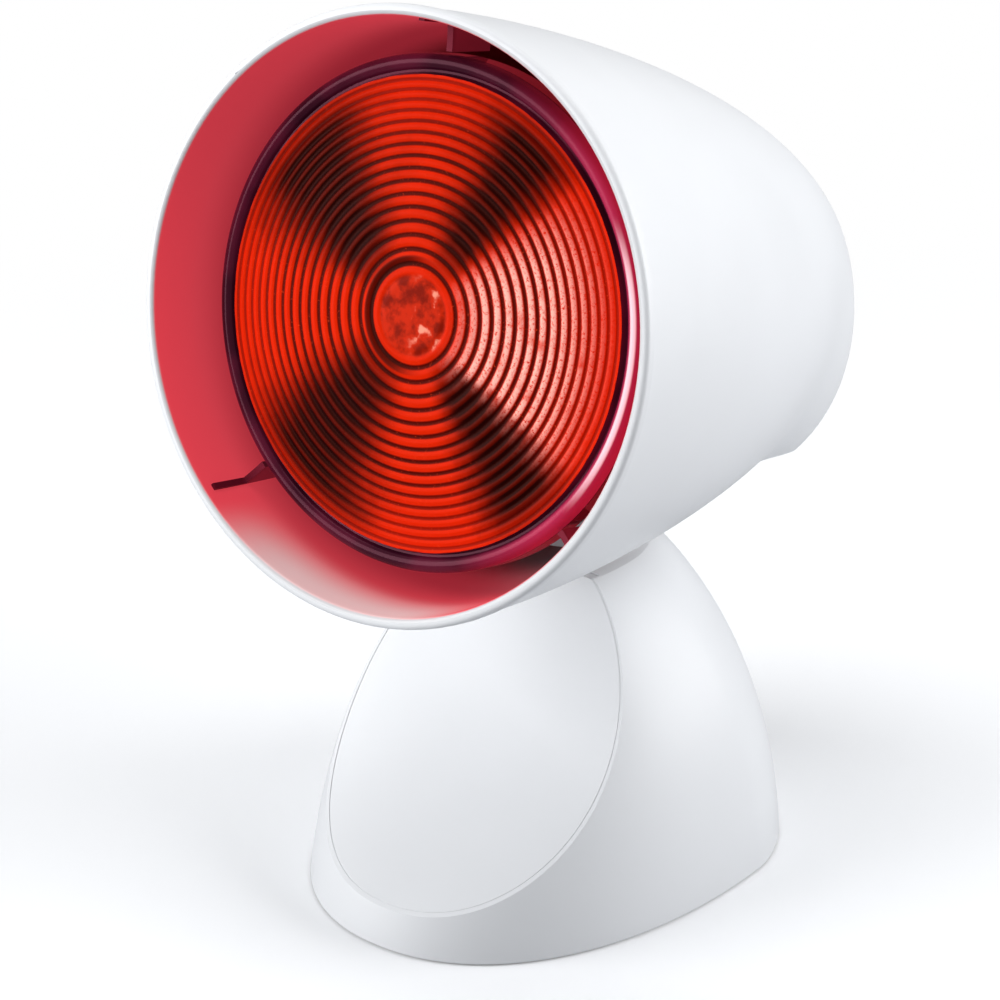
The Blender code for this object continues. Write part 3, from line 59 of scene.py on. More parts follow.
# Sizes in metres, the same as the frame's
RIM_AHEAD = 0.0970
AXIS_ABOVE = 0.0390
RIM_RADIUS = 0.0721
LIP_ROUND = 0.0012
LIP_DEPTH = 0.0030
LIP_STEP = 0.0004
SHADE_DEPTH = 0.1712
SHADE_WALL = 0.0024
BELL_LENGTH_POWER = 1.41
BELL_RADIUS_POWER = 2.42
HOOD_BACK = 0.1266
HOOD_DROP = 0.0105
HOOD_RADIUS = 0.0418
HOOD_HALF_WIDTH = 0.0435
HOOD_FLOOR_DROP = 0.0346
HOOD_FLOOR_START = 0.1120
HOOD_BLEND = 0.0060
SLOT_START = 0.0700
SLOT_END = 0.1160
SLOT_HALF_WIDTH = 0.0235
SLOT_CUT_ABOVE = 0.0008
FIN_ROLL = math.radians(-5)
FIN_SPREAD = math.radians(135)
FIN_THICKNESS = 0.0016
FIN_FRONT = 0.0126
FIN_BACK = 0.0300
FIN_SLOPE = 0.0024
FIN_INNER = 0.0613
FIN_TOE = 0.0032
FIN_TOE_ACROSS = 0.0685
VENT_COUNT = 5
VENT_WIDTH = 0.0240
VENT_HEIGHT = 0.0024
VENT_PITCH = 0.0056
VENT_DEPTH = 0.0120
EAR_POST_RADIUS = 0.0036
EAR_POST_X = 0.0300
EAR_POST_BACK = 0.1025
EAR_POST_TOP = -0.0247
EAR_HOLE_RADIUS = 0.00175
EAR_HOLE_DEPTH = 0.0090

LENS_RADIUS = 0.0557
LENS_EDGE_BACK = 0.0139
LENS_RISE = 0.0040
LENS_THICKNESS = 0.0030
LENS_STEP_OUT = 0.0003
LENS_STEP_BACK = 0.0008
LENS_GROOVE_BACK = 0.0014
RING_COUNT = 19
RING_DEPTH = 0.00038
RING_CROWDING = 0.16
RING_EDGE_SHARE = 0.97
EYE_RADIUS = 0.0098
EYE_SOFT_SHARE = 0.8
EYE_RING_HEIGHT = 0.75
BULB_RIM_RADIUS = 0.0605
BULB_RIM_BACK = 0.0175
GLASS_WALL = 0.0024
RIM_BEAD = 0.0019
BEAD_FROM_DEGREES = -80
BEAD_SWEEP_DEGREES = 170
DISH_START = 0.0230
DISH_DEPTH = 0.0529
DISH_RADIUS = 0.0593
THROAT_RADIUS = 0.0235
NECK_RADIUS = 0.0190
NECK_END = 0.1060
COLLAR_RADIUS = 0.0145
CAP_START = 0.1150
CAP_SHELL_END = 0.1379
CAP_RADIUS = 0.0130
CAP_WALL = 0.0006
THREAD_PITCH = 0.0036
THREAD_DEPTH = 0.0008
THREAD_FADE_IN = (0.12, 0.24)
THREAD_FADE_OUT = (1.0, 0.90)

STAND_HALF_WIDTH = 0.0548
STAND_FRONT = 0.0693
STAND_BACK = 0.0622
STAND_TOP = 0.0800
WIDTH_PEAK = 0.0855
DEPTH_PEAK = 0.0935
PEAK_BEHIND = 0.0094
WIDEST_BEHIND = 0.0159
STAND_WALL = 0.0026
STAND_LIFT = 0.0006
WIDTH_POWER = 2.06
FRONT_POWER = 1.16
BACK_POWER = 1.55
FRONT_ROUNDNESS = 2.15
BACK_ROUNDNESS = 1.79
PANEL_TOE_FRONT = 0.0682
PANEL_TOE_HEIGHT = 0.0085
PANEL_LEAN_SHARE = 1.35
PANEL_STEEPEN_RADIUS = 0.0794
PANEL_BOW_RADIUS = 0.0833
PANEL_FLAT_HEIGHT = 0.0600
PANEL_THICKNESS = 0.0024
SEAM_LIP = 0.0007
SEAM_GAP = 0.00012
PIVOT_BEHIND = 0.0206
COLUMN_WIDTH = 0.0260
COLUMN_DEPTH = 0.0180
POST_RADIUS = 0.0038
POST_PLACES = [(-0.0380, -0.0230), (0.0380, -0.0230), (-0.0380, 0.0320), (0.0380, 0.0320)]
POST_START = 0.0053
POST_HOLE_RADIUS = 0.00175
POST_HOLE_TOP = 0.0170
GLAND_HEIGHT = 0.0115
GLAND_BODY_RADIUS = 0.0047
GLAND_FLANGE_RADIUS = 0.0062
GLAND_INSET = 0.0008

# Clearances, counts of steps and limits that the meshes share
GAP = 0.0003
OVERRUN = 0.0040
MERGE_DISTANCE = 1e-6
SPOKES = 144
POST_SPOKES = 32
GLAND_SPOKES = 48
VENT_SPOKES = 24
FLOOR_SPOKES = 96
STAND_CROWDING = 1.6
SHADE_STEPS = 96
HOLLOW_STEPS = 72
STEPS_PER_RING = 8
FIN_STEPS = 12
BEAD_STEPS = 10
LENS_BACK_STEPS = 12
DISH_STEPS = 30
THREAD_STEPS = 90
THREAD_SPOKES = 72
SHARP = math.radians(35)
LENS_SHARP = math.radians(50)
SKIN_NEAR = 4e-5
SKIN_LEVEL = 0.80

# Where the ringed glass changes, in metres from the lamp's axis: its painted groove shade, its painted
# pink highlight and painted shade crescent, and how its dark rays of painted reflection lie
RAY_START = (0.0075, 0.0220)
RAY_END = (0.0560, 0.0500)
RAY_SPREAD = 0.93
RAY_TWIST = 0.36
RAY_LEAN = 0.16
RAY_SIDE = 0.14
RAY_HAZE = 0.30
RAY_SOFTNESS = (0.02, 0.90)
RAY_LEFT_AT_EDGE = 0.40
GROOVE_LIGHTENS = (0.036, 0.054)
HIGHLIGHT_LOBE_START = (0.010, 0.022)
HIGHLIGHT_LOBE_END = (0.056, 0.036)
HIGHLIGHT_LOBE_SIDE = (0.64, 0.90)
SHADE_CRESCENT_RADIUS = 0.0128
SHADE_CRESCENT_LIMITS = (2.2e-6, 0.6e-6)
EYE_EDGE = (0.0102, 0.0088)

# The room, with the camera's lens and sensor in millimetres
FLOOR_RADIUS = 6
FLOOR_SHADOW_REACH = 0.18
FLOOR_WHITE_REACH = 0.42
FLOOR_MATT = (0.90, 0.91, 0.93)
FLOOR_GLOW = 0.14
FLOOR_BOUNCE = (0.42, 0.43, 0.45)
FILL_COLOUR = (0.95, 0.97, 1.0)
FILL_STRENGTH = 0.20
BACKDROP_COLOUR = (0.8, 0.8, 0.8)
TARGET_HEIGHT = 0.110
CAMERA_TURN = math.radians(36.43)
CAMERA_RISE = math.radians(25.88)
CAMERA_DISTANCE = 1.084
CAMERA_LENS = 159.23
CAMERA_SENSOR = 36
CAMERA_SHIFT_X = -0.0459
CAMERA_SHIFT_Y = -0.0567
LIGHT_SIZE = 1.0


# Places: the lamp's own axes and the stand's middle, read from the frame's joints,
# and the directions towards the camera and to its right
def joint_named(name):
    return next(joint for joint in frame["joints"] if joint["name"] == name)


HINGE = Vector(joint_named("head_tilt")["pos_m"])
BACK = -Vector(joint_named("bulb_unscrew")["axis"]).normalized()
ACROSS = Vector((1, 0, 0))
UP = ACROSS.cross(BACK)
RIM_CENTRE = HINGE - BACK * RIM_AHEAD + UP * AXIS_ABOVE
HEAD = Matrix((ACROSS, BACK, UP)).transposed().to_4x4()
HEAD.translation = RIM_CENTRE
HEAD_INVERSE = HEAD.inverted()
STAND = Matrix.Translation((0, HINGE.y - PIVOT_BEHIND, 0))
TARGET = Vector((0, STAND.translation.y, TARGET_HEIGHT))
TOWARDS = Vector((
    math.sin(CAMERA_TURN) * math.cos(CAMERA_RISE),
    -math.cos(CAMERA_TURN) * math.cos(CAMERA_RISE),
    math.sin(CAMERA_RISE),
))
RIGHT = Vector((math.cos(CAMERA_TURN), math.sin(CAMERA_TURN), 0))


# Node maths, for materials and for Geometry Nodes
class Signal:
    """A node's socket that can stand in a sum."""

    def __init__(self, maker, socket):
        self.maker = maker
        self.socket = socket

    def maths(self, operation, first, second=0.0):
        return self.maker.node("ShaderNodeMath", {"operation": operation}, {0: first, 1: second})

    def __add__(self, other):
        return self.maths("ADD", self, other)

    def __radd__(self, other):
        return self.maths("ADD", other, self)

    def __sub__(self, other):
        return self.maths("SUBTRACT", self, other)

    def __rsub__(self, other):
        return self.maths("SUBTRACT", other, self)

    def __mul__(self, other):
        return self.maths("MULTIPLY", self, other)

    def __rmul__(self, other):
        return self.maths("MULTIPLY", other, self)

    def __truediv__(self, other):
        return self.maths("DIVIDE", self, other)

    def __pow__(self, other):
        return self.maths("POWER", self, other)

    def sine(self):
        return self.maths("SINE", self)

    def cosine(self):
        return self.maths("COSINE", self)


class NodeMaker:
    """Adds nodes to one tree, with their settings first and then their sockets' values or links."""

    def __init__(self, tree):
        self.tree = tree

    def node(self, kind, settings=None, sockets=None, output=0):
        node = self.tree.nodes.new(kind)
        for key, value in (settings or {}).items():
            setattr(node, key, value)
        for key, value in (sockets or {}).items():
            if isinstance(value, Signal):
                self.tree.links.new(value.socket, node.inputs[key])
            else:
                node.inputs[key].default_value = value
        return Signal(self, node.outputs[output]) if len(node.outputs) else None

    def ease(self, value, low, high):
        """0 at low and 1 at high, with a soft step between; low may be the larger of the two."""
        sockets = {"Value": value, "From Min": low, "From Max": high}
        return self.node("ShaderNodeMapRange", {"interpolation_type": "SMOOTHSTEP"}, sockets)


class Finish(NodeMaker):
    """One procedural material."""

    def __init__(self, name):
        self.material = bpy.data.materials.new(name)
        self.material.use_nodes = True
        super().__init__(self.material.node_tree)
        self.tree.nodes.clear()

    def place(self):
        return self.node("ShaderNodeTexCoord", output="Object")

    def along(self, direction, origin=(0, 0, 0)):
        """How far the surface's point lies from the origin in this direction."""
        kind = "ShaderNodeVectorMath"
        offset = self.node(kind, {"operation": "SUBTRACT"}, {0: self.place(), 1: origin})
        return self.node(kind, {"operation": "DOT_PRODUCT"}, {0: offset, 1: direction}, "Value")

    def round_axis(self):
        """How far across, up and out from the lamp's axis the surface's point lies."""
        across = self.along(ACROSS, RIM_CENTRE)
        up = self.along(UP, RIM_CENTRE)
        never_zero = 1e-9
        return across, up, (across * across + up * up + never_zero) ** 0.5

    def band(self, distance, middle, limits):
        """1 close to the middle distance and 0 away from it; the limits are squares of distances."""
        off = distance - middle
        return self.ease(off * off, *limits)

    def noise(self, scale, detail=3, roughness=0.5):
        sockets = {"Vector": self.place(), "Scale": scale, "Detail": detail, "Roughness": roughness}
        return self.node("ShaderNodeTexNoise", None, sockets, "Fac")

    def mix(self, first, second, share):
        """Two colours mixed; a Mix node's colours are its sockets 6 and 7, and its output 2."""
        sockets = {0: share, 6: opaque(first), 7: opaque(second)}
        return self.node("ShaderNodeMix", {"data_type": "RGBA"}, sockets, 2)

    def bump(self, height, strength, distance):
        sockets = {"Height": height, "Strength": strength, "Distance": distance}
        return self.node("ShaderNodeBump", None, sockets)

    def surface(self, colour, roughness, metallic=0.0, normal=None, **others):
        """A Principled shader; the others name its other sockets, as coat_weight for Coat Weight."""
        sockets = {"Base Color": opaque(colour), "Roughness": roughness, "Metallic": metallic}
        if normal:
            sockets["Normal"] = normal
        for key, value in others.items():
            name = key.replace("_", " ").title().replace("Ior", "IOR")
            sockets[name] = opaque(value)
        return self.finished(self.node("ShaderNodeBsdfPrincipled", None, sockets))

    def finished(self, shader):
        self.node("ShaderNodeOutputMaterial", None, {"Surface": shader})
        return self.material


def opaque(value):
    """A plain colour with full alpha; a signal or a single number stays as it is."""
    return (*value, 1) if isinstance(value, tuple) else value


def scaled(colour, share):
    return tuple(channel * share for channel in colour)


def white_plastic(name, gloss=0.36):
    """Smooth moulded plastic with a faint flow in its tone and the finest grain."""
    white = (0.86, 0.875, 0.90)
    finish = Finish(name)
    flow = finish.noise(scale=18, detail=2)
    grain = finish.noise(scale=1100, detail=2)
    tone = finish.mix(scaled(white, 0.965), white, finish.ease(flow, 0.3, 0.7))
    roughness = gloss + 0.05 * flow + 0.03 * grain
    normal = finish.bump(grain, strength=0.03, distance=0.00002)
    return finish.surface(tone, roughness, normal=normal)


def shade_inside():
    """The white inner wall with the red bulb's light and shade painted on, and made to glow: pale low
    down, deeper above and behind.

    The steps between its tones are placed in metres from the rim's centre.
    """
    upper_red = (0.56, 0.045, 0.066)
    lower_red = (0.66, 0.055, 0.078)
    shadow_red = (0.30, 0.016, 0.030)
    unlit_red = (0.30, 0.014, 0.022)
    pale_wall = (0.72, 0.52, 0.52)
    pale_glow = (0.40, 0.29, 0.29)
    # The lip's white is painted a little grey, as shade
    shaded_lip_white = (0.70, 0.71, 0.73)
    no_glow = (0.0, 0.0, 0.0)
    finish = Finish("shade_inside_red_lit")
    back = finish.along(BACK, RIM_CENTRE)
    up = finish.along(UP, RIM_CENTRE)
    across = finish.along(ACROSS, RIM_CENTRE)
    red = finish.mix(upper_red, lower_red, finish.ease(up, 0.045, -0.020))
    behind_bulb = finish.ease(back, 0.014, 0.034) * 0.8
    red = finish.mix(red, shadow_red, behind_bulb)
    low = finish.ease(up, -0.055, -0.067) * finish.ease(back, 0.022, 0.004)
    low = low * finish.ease(across, 0.042, 0.012)
    past_lip = finish.ease(back, 0.0002, 0.0007)
    wall = finish.mix(finish.mix(red, unlit_red, 0.5), pale_wall, low)
    glowing = past_lip * finish.ease(back, 0.060, 0.035)
    grain = finish.noise(scale=2600, detail=2)
    return finish.surface(
        finish.mix(shaded_lip_white, wall, past_lip),
        0.30 + 0.06 * finish.noise(scale=40, detail=2),
        normal=finish.bump(grain, strength=0.04, distance=0.00003),
        # The painted red light also glows: none on the lip, and fading out behind the bulb
        emission_color=finish.mix(no_glow, finish.mix(red, pale_glow, low), glowing),
        emission_strength=0.72,
    )


def fin_shadow_painted():
    """The fins' white plastic with the bulb's shadow and red light painted on and a faint painted
    glow, darkest along the front edge.
    """
    front_red = (0.10, 0.006, 0.016)
    back_red = (0.22, 0.022, 0.045)
    finish = Finish("fin_painted_shadow")
    back = finish.along(BACK, RIM_CENTRE)
    tone = finish.mix(front_red, back_red, finish.ease(back, 0.013, 0.017))
    return finish.surface(
        tone,
        0.40 + 0.08 * finish.noise(scale=300),
        specular_ior_level=0.12,
        specular_tint=(1.0, 0.35, 0.45),
        emission_color=tone,
        emission_strength=0.20,
    )


def painted_dark_rays(finish, across, up, radius, haze):
    """1 on the four dark rays painted on the glass as reflection, which begin round the eye and fade
    towards the edge.
    """
    sideways = across / radius
    spread = (across * across - up * up) / (radius * radius)
    twist = 2 * across * up / (radius * radius)
    leaning = RAY_SPREAD * spread + RAY_TWIST * twist + RAY_LEAN + RAY_SIDE * sideways
    leaning = leaning + (haze - 0.5) * RAY_HAZE
    narrower = 1 + finish.ease(sideways, -0.2, 0.5)
    rays = 1 - finish.ease(leaning * leaning * narrower, *RAY_SOFTNESS)
    inside_edge = RAY_LEFT_AT_EDGE + (1 - RAY_LEFT_AT_EDGE) * finish.ease(radius, *RAY_END)
    return rays * finish.ease(radius, *RAY_START) * inside_edge


def eye_tone(finish, sideways):
    """The plain round in the middle of the glass, mottled, with pale flecks painted on its right as
    highlight.
    """
    dark_mottle = (0.20, 0.007, 0.002)
    light_mottle = (0.54, 0.020, 0.004)
    highlight_fleck = (0.90, 0.30, 0.20)
    mottle = finish.noise(scale=240)
    tone = finish.mix(dark_mottle, light_mottle, finish.ease(mottle, 0.38, 0.60))
    flecks = finish.ease(mottle, 0.58, 0.70) * finish.ease(sideways, -0.3, 0.6)
    return finish.mix(tone, highlight_fleck, flecks)


def ringed_glass():
    """Pressed red glass with fine rings and painted light: shade in the grooves, the four dark rays
    that the reflector behind makes as painted reflection, a pink highlight on the right and a shade
    crescent left of the eye.
    """
    inner_groove_shade = (0.07, 0.0015, 0.0004)
    outer_groove_shade = (0.30, 0.006, 0.0006)
    crest_red = (0.66, 0.016, 0.0008)
    speckle_red = (0.80, 0.055, 0.012)
    ray_groove = (0.010, 0.0004, 0.0003)
    ray_crest = (0.085, 0.003, 0.0006)
    painted_highlight_pink = (0.95, 0.46, 0.38)
    crescent_painted_shade = (0.020, 0.0008, 0.0004)
    finish = Finish("ringed_red_glass")
    across, up, radius = finish.round_axis()
    sideways = across / radius
    haze = finish.noise(scale=110, roughness=0.6)
    grain = finish.noise(scale=1500, detail=4, roughness=0.7)
    rings = finish.node("ShaderNodeAttribute", {"attribute_name": "ring_height"}, None, "Fac")

    # The grooves between the rings are painted darker, as shade, less so towards the edge
    groove = finish.mix(inner_groove_shade, outer_groove_shade, finish.ease(radius, *GROOVE_LIGHTENS))
    light = finish.mix(groove, crest_red, finish.ease(rings, 0.08, 0.50))
    light = finish.mix(light, speckle_red, finish.ease(grain, 0.58, 0.74) * 0.5)
    # Inside the rays the glass takes the painted reflection of the dark reflector
    night = finish.mix(ray_groove, ray_crest, finish.ease(rings, 0.45, 1.0))
    dark = painted_dark_rays(finish, across, up, radius, haze)
    tone = finish.mix(light, night, dark)

    # A pink highlight painted on the ring crests of the right side, kept off the rays
    crest = finish.ease(rings, 0.28, 0.75) * finish.ease(grain, 0.32, 0.52)
    highlight_lobe = finish.ease(sideways, *HIGHLIGHT_LOBE_SIDE) * finish.ease(radius, *HIGHLIGHT_LOBE_START)
    highlight_lobe = highlight_lobe * finish.ease(radius, *HIGHLIGHT_LOBE_END) * finish.ease(haze, 0.24, 0.48)
    tone = finish.mix(tone, painted_highlight_pink, crest * highlight_lobe * (1 - dark))

    # A crescent of painted shade round the eye's left side
    crescent = finish.band(radius, SHADE_CRESCENT_RADIUS, SHADE_CRESCENT_LIMITS)
    crescent = crescent * finish.ease(sideways, 0.5, -0.4)
    tone = finish.mix(tone, crescent_painted_shade, crescent * 0.85)
    tone = finish.mix(tone, eye_tone(finish, sideways), finish.ease(radius, *EYE_EDGE))
    return finish.surface(
        tone,
        0.26 + 0.16 * grain,
        normal=finish.bump(grain, strength=0.25, distance=0.0002),
        specular_ior_level=0.06,
        specular_tint=(1.0, 0.16, 0.08),
        emission_color=tone,
        emission_strength=0.28,
    )


def flange_glass():
    """The smooth dark glass edge round the lens, with a pink light and a pale highlight streak painted
    on its right.
    """
    thick_glass = (0.030, 0.003, 0.010)
    thin_glass = (0.080, 0.006, 0.020)
    painted_side_pink = (0.42, 0.022, 0.075)
    highlight_streak_pink = (0.92, 0.66, 0.72)
    highlight_streak_radius = 0.0588
    highlight_streak_limits = (0.9e-6, 0.1e-6)
    finish = Finish("dark_flange_glass")
    across, _, radius = finish.round_axis()
    sideways = across / radius
    haze = finish.noise(scale=60, detail=2)
    tone = finish.mix(thick_glass, thin_glass, finish.ease(haze, 0.35, 0.65))
    # Painted light: a pink glow on the right side and a pale highlight streak along the bead
    side = finish.ease(sideways, 0.25, 0.80) * finish.ease(radius, 0.0566, 0.0580)
    tone = finish.mix(tone, painted_side_pink, side * 0.9)
    highlight_streak = finish.band(radius, highlight_streak_radius, highlight_streak_limits) * finish.ease(sideways, 0.80, 0.97)
    tone = finish.mix(tone, highlight_streak_pink, highlight_streak)
    return finish.surface(
        tone,
        0.16 + 0.05 * haze,
        specular_ior_level=0.16,
        specular_tint=(1.0, 0.35, 0.50),
        emission_color=tone,
        emission_strength=0.30,
    )


def reflector_glass():
    """The mirrored glass body behind the lens, seen from outside."""
    front_red = (0.16, 0.012, 0.022)
    back_red = (0.09, 0.008, 0.014)
    finish = Finish("reflector_dark_red_glass")
    haze = finish.noise(scale=45)
    back = finish.along(BACK, RIM_CENTRE)
    tone = finish.mix(front_red, back_red, finish.ease(back, 0.02, 0.10))
    roughness = 0.12 + 0.10 * haze
    return finish.surface(tone, roughness, metallic=0.25, coat_weight=1.0, coat_roughness=0.05)


def rolled_metal(name, colour, roughness):
    """Plated or rolled metal with fine upright streaks."""
    finish = Finish(name)
    streaked = {"Vector": finish.place(), "Scale": (900, 900, 75)}
    stretched = finish.node("ShaderNodeMapping", None, streaked)
    lines = finish.node("ShaderNodeTexNoise", None, {"Vector": stretched, "Scale": 1.0}, "Fac")
    blotch = finish.noise(scale=140)
    tone = finish.mix(scaled(colour, 0.80), colour, finish.ease(blotch, 0.3, 0.7))
    gloss = roughness + 0.12 * lines + 0.06 * blotch
    normal = finish.bump(lines, strength=0.10, distance=0.00004)
    return finish.surface(tone, gloss, metallic=1.0, normal=normal)


def moulded(name, colour, roughness, grain_scale=1800, strength=0.15):
    """Plain moulded stock, such as nylon, rubber or a wire's coat, with a fine matt grain."""
    finish = Finish(name)
    grain = finish.noise(grain_scale)
    flow = finish.noise(scale=60, detail=2)
    lighter = tuple(channel * 1.25 + 0.01 for channel in colour)
    tone = finish.mix(colour, lighter, finish.ease(flow, 0.35, 0.75))
    normal = finish.bump(grain, strength, distance=0.00006)
    return finish.surface(tone, roughness + 0.10 * grain, normal=normal)


def fired_ceramic():
    """Glazed holder ceramic, off white, with small iron specks."""
    thin_glaze = (0.76, 0.73, 0.65)
    thick_glaze = (0.85, 0.83, 0.77)
    iron = (0.32, 0.24, 0.16)
    finish = Finish("fired_ceramic")
    specks = finish.ease(finish.noise(scale=700, detail=2), 0.70, 0.76)
    cloud = finish.ease(finish.noise(scale=50), 0.3, 0.7)
    glaze = finish.mix(thin_glaze, thick_glaze, cloud)
    grain = finish.noise(scale=900)
    return finish.surface(
        finish.mix(glaze, iron, specks * 0.6),
        0.30 + 0.20 * grain,
        normal=finish.bump(grain, strength=0.12, distance=0.0001),
        coat_weight=0.4,
    )


# Mesh helpers
def object_from(name, shape, place=Matrix.Identity(4)):
    bmesh.ops.recalc_face_normals(shape, faces=shape.faces)
    mesh = bpy.data.meshes.new(name)
    shape.to_mesh(mesh)
    shape.free()
    mesh.transform(place)
    obj = bpy.data.objects.new(name, mesh)
    bpy.context.scene.collection.objects.link(obj)
    return obj


def bridged(name, rings, place, capped=True):
    """Rings of points joined in order, each with as many points or one, and closed at both ends."""
    shape = bmesh.new()
    loops = [[shape.verts.new(point) for point in ring] for ring in rings]
    for first, second in zip(loops, loops[1:]):
        count = max(len(first), len(second))
        for i in range(count):
            j = (i + 1) % count
            corners = [
                first[i % len(first)], first[j % len(first)],
                second[j % len(second)], second[i % len(second)],
            ]
            shape.faces.new(dict.fromkeys(corners))
    for loop in (loops[0], loops[-1]):
        if capped and len(loop) > 1:
            shape.faces.new(loop)
    return object_from(name, shape, place)


def circle(radius, back, count=SPOKES):
    """A ring of points round the lamp's axis, or its one middle point."""
    if radius == 0:
        return [(0, back, 0)]
    turns = [2 * math.pi * i / count for i in range(count)]
    return [(radius * math.sin(turn), back, radius * math.cos(turn)) for turn in turns]


def lathe(name, profile, place, count=SPOKES):
    """A closed solid of points (radius, back) turned about the lamp's axis."""
    rings = [circle(radius, back, count) for radius, back in profile]
    closed = profile[0][0] > 0
    if closed:
        rings.append(rings[0])
    obj = bridged(name, rings, place, capped=False)
    if closed:
        weld(obj)
    return obj


def weld(obj, distance=MERGE_DISTANCE, added=None):
    """Merges the object's doubled points, after adding another mesh to it if one is given."""
    shape = bmesh.new()
    shape.from_mesh(obj.data)
    if added:
        shape.from_mesh(added)
    bmesh.ops.remove_doubles(shape, verts=shape.verts, dist=distance)
    bmesh.ops.recalc_face_normals(shape, faces=shape.faces)
    shape.to_mesh(obj.data)
    shape.free()


def smooth(obj, angle=SHARP):
    obj.data.shade_smooth()
    obj.data.set_sharp_from_angle(angle=angle)


def block(name, low, high, place):
    shape = bmesh.new()
    bmesh.ops.create_cube(shape, size=1)
    for vert in shape.verts:
        vert.co = [a + (b - a) * (c + 0.5) for a, b, c in zip(low, high, vert.co)]
    return object_from(name, shape, place)


def upright_post(name, radius, low, high, x, y, place):
    shape = bmesh.new()
    sizes = {"radius1": radius, "radius2": radius, "depth": high - low}
    bmesh.ops.create_cone(shape, cap_ends=True, segments=POST_SPOKES, **sizes)
    bmesh.ops.translate(shape, vec=(x, y, (low + high) / 2), verts=shape.verts)
    return object_from(name, shape, place)


def finished_mesh(obj):
    """The object's mesh with its modifiers applied, as plain faces."""
    bpy.context.view_layer.update()
    graph = bpy.context.evaluated_depsgraph_get()
    return bpy.data.meshes.new_from_object(obj.evaluated_get(graph))


def combine(target, operation, *others):
    for other in others:
        modifier = target.modifiers.new(other.name, "BOOLEAN")
        modifier.operation = operation
        modifier.solver = "EXACT"
        modifier.object = other
    mesh = finished_mesh(target)
    target.modifiers.clear()
    target.data = mesh
    for other in others:
        bpy.data.objects.remove(other)
    return target


class Skin:
    """A smooth surface kept from before it is cut, to shade what is left of it."""

    def __init__(self, obj):
        smooth(obj)
        mesh = obj.data
        self.points = [vert.co.copy() for vert in mesh.vertices]
        self.faces = [tuple(face.vertices) for face in mesh.polygons]
        self.flat = [face.normal.copy() for face in mesh.polygons]
        self.corners = [
            [mesh.corner_normals[i].vector.copy() for i in face.loop_indices]
            for face in mesh.polygons
        ]
        self.tree = BVHTree.FromPolygons(self.points, self.faces)

    def nearest(self, point):
        return self.tree.find_nearest(point)

    def normal(self, point, index):
        corners = [self.points[i] for i in self.faces[index]]
        shares = poly_3d_calc(corners, point)
        total = Vector()
        for share, corner in zip(shares, self.corners[index]):
            total += corner * share
        return total.normalized()


def shade_from(obj, skins):
    """Each face that lies on a skin takes its normals; the list says which skin, or -1."""
    smooth(obj)
    mesh = obj.data
    normals = [corner.vector.copy() for corner in mesh.corner_normals]
    found = []
    for face in mesh.polygons:
        best, best_gap = -1, SKIN_NEAR
        for number, skin in enumerate(skins):
            spot = skin.nearest(face.center)
            if spot[3] < best_gap and abs(skin.flat[spot[2]].dot(face.normal)) > SKIN_LEVEL:
                best, best_gap = number, spot[3]
        found.append(best)
        if best < 0:
            continue
        for loop in face.loop_indices:
            point = mesh.vertices[mesh.loops[loop].vertex_index].co
            spot = skins[best].nearest(point)
            normal = skins[best].normal(spot[0], spot[2])
            if normal.dot(face.normal) < 0:
                normal = -normal
            if normal.dot(face.normal) > SKIN_LEVEL:
                normals[loop] = normal
    mesh.normals_split_custom_set(normals)
    return found


def hold_inside(obj):
    """Draws in the few points that a finer round would put past the frame's box."""
    low, high = cad_box
    for vert in obj.data.vertices:
        vert.co = [min(max(place, a), b) for place, a, b in zip(vert.co, low, high)]


def dress(obj, materials, choose=None):
    obj.data.materials.clear()
    for material in materials:
        obj.data.materials.append(material)
    for face in obj.data.polygons:
        face.material_index = choose(face) if choose else 0


def settle(obj, body, slot, *nodes):
    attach(obj, body)
    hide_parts(*nodes)


# The stand
def stand_section(height, inset, count):
    """The dome's outline at this height, drawn in by the inset; it is fuller in front than behind."""
    rise = max(height, 0) / DEPTH_PEAK
    width_rise = max(height, 0) / WIDTH_PEAK
    half_width = STAND_HALF_WIDTH * math.sqrt(1 - width_rise**WIDTH_POWER) - inset
    front_reach = (STAND_FRONT + PEAK_BEHIND) * math.sqrt(1 - rise**FRONT_POWER)
    back_reach = (STAND_BACK - PEAK_BEHIND) * math.sqrt(1 - rise**BACK_POWER)
    middle = WIDEST_BEHIND + (PEAK_BEHIND - WIDEST_BEHIND) * rise
    front = middle - (PEAK_BEHIND - front_reach) - inset
    back = PEAK_BEHIND + back_reach - middle - inset
    ring = []
    for i in range(count):
        turn = 2 * math.pi * i / count
        sine, cosine = math.sin(turn), math.cos(turn)
        reach, power = (back, BACK_ROUNDNESS) if cosine > 0 else (front, FRONT_ROUNDNESS)
        along = reach * max(1 - abs(sine) ** power, 0) ** (1 / power)
        ring.append((half_width * sine, middle + math.copysign(along, cosine), height))
    return ring


def stand_form(name, inset, low, high, rings=60, count=200):
    """The dome drawn in by the inset, with its rings closer together towards the top."""
    shares = [1 - (1 - i / rings) ** STAND_CROWDING for i in range(rings + 1)]
    heights = [low + (high - low) * share for share in shares]
    return bridged(name, [stand_section(height, inset, count) for height in heights], STAND)


def panel_front(x, height):
    """Where the panel's face lies: leaning back less and less, and bowed across."""
    rise = height - PANEL_TOE_HEIGHT
    bow = (1 - height / PANEL_FLAT_HEIGHT) / (2 * PANEL_BOW_RADIUS)
    lean = PANEL_LEAN_SHARE * rise - rise**2 / (2 * PANEL_STEEPEN_RADIUS)
    return -PANEL_TOE_FRONT + lean + bow * x**2


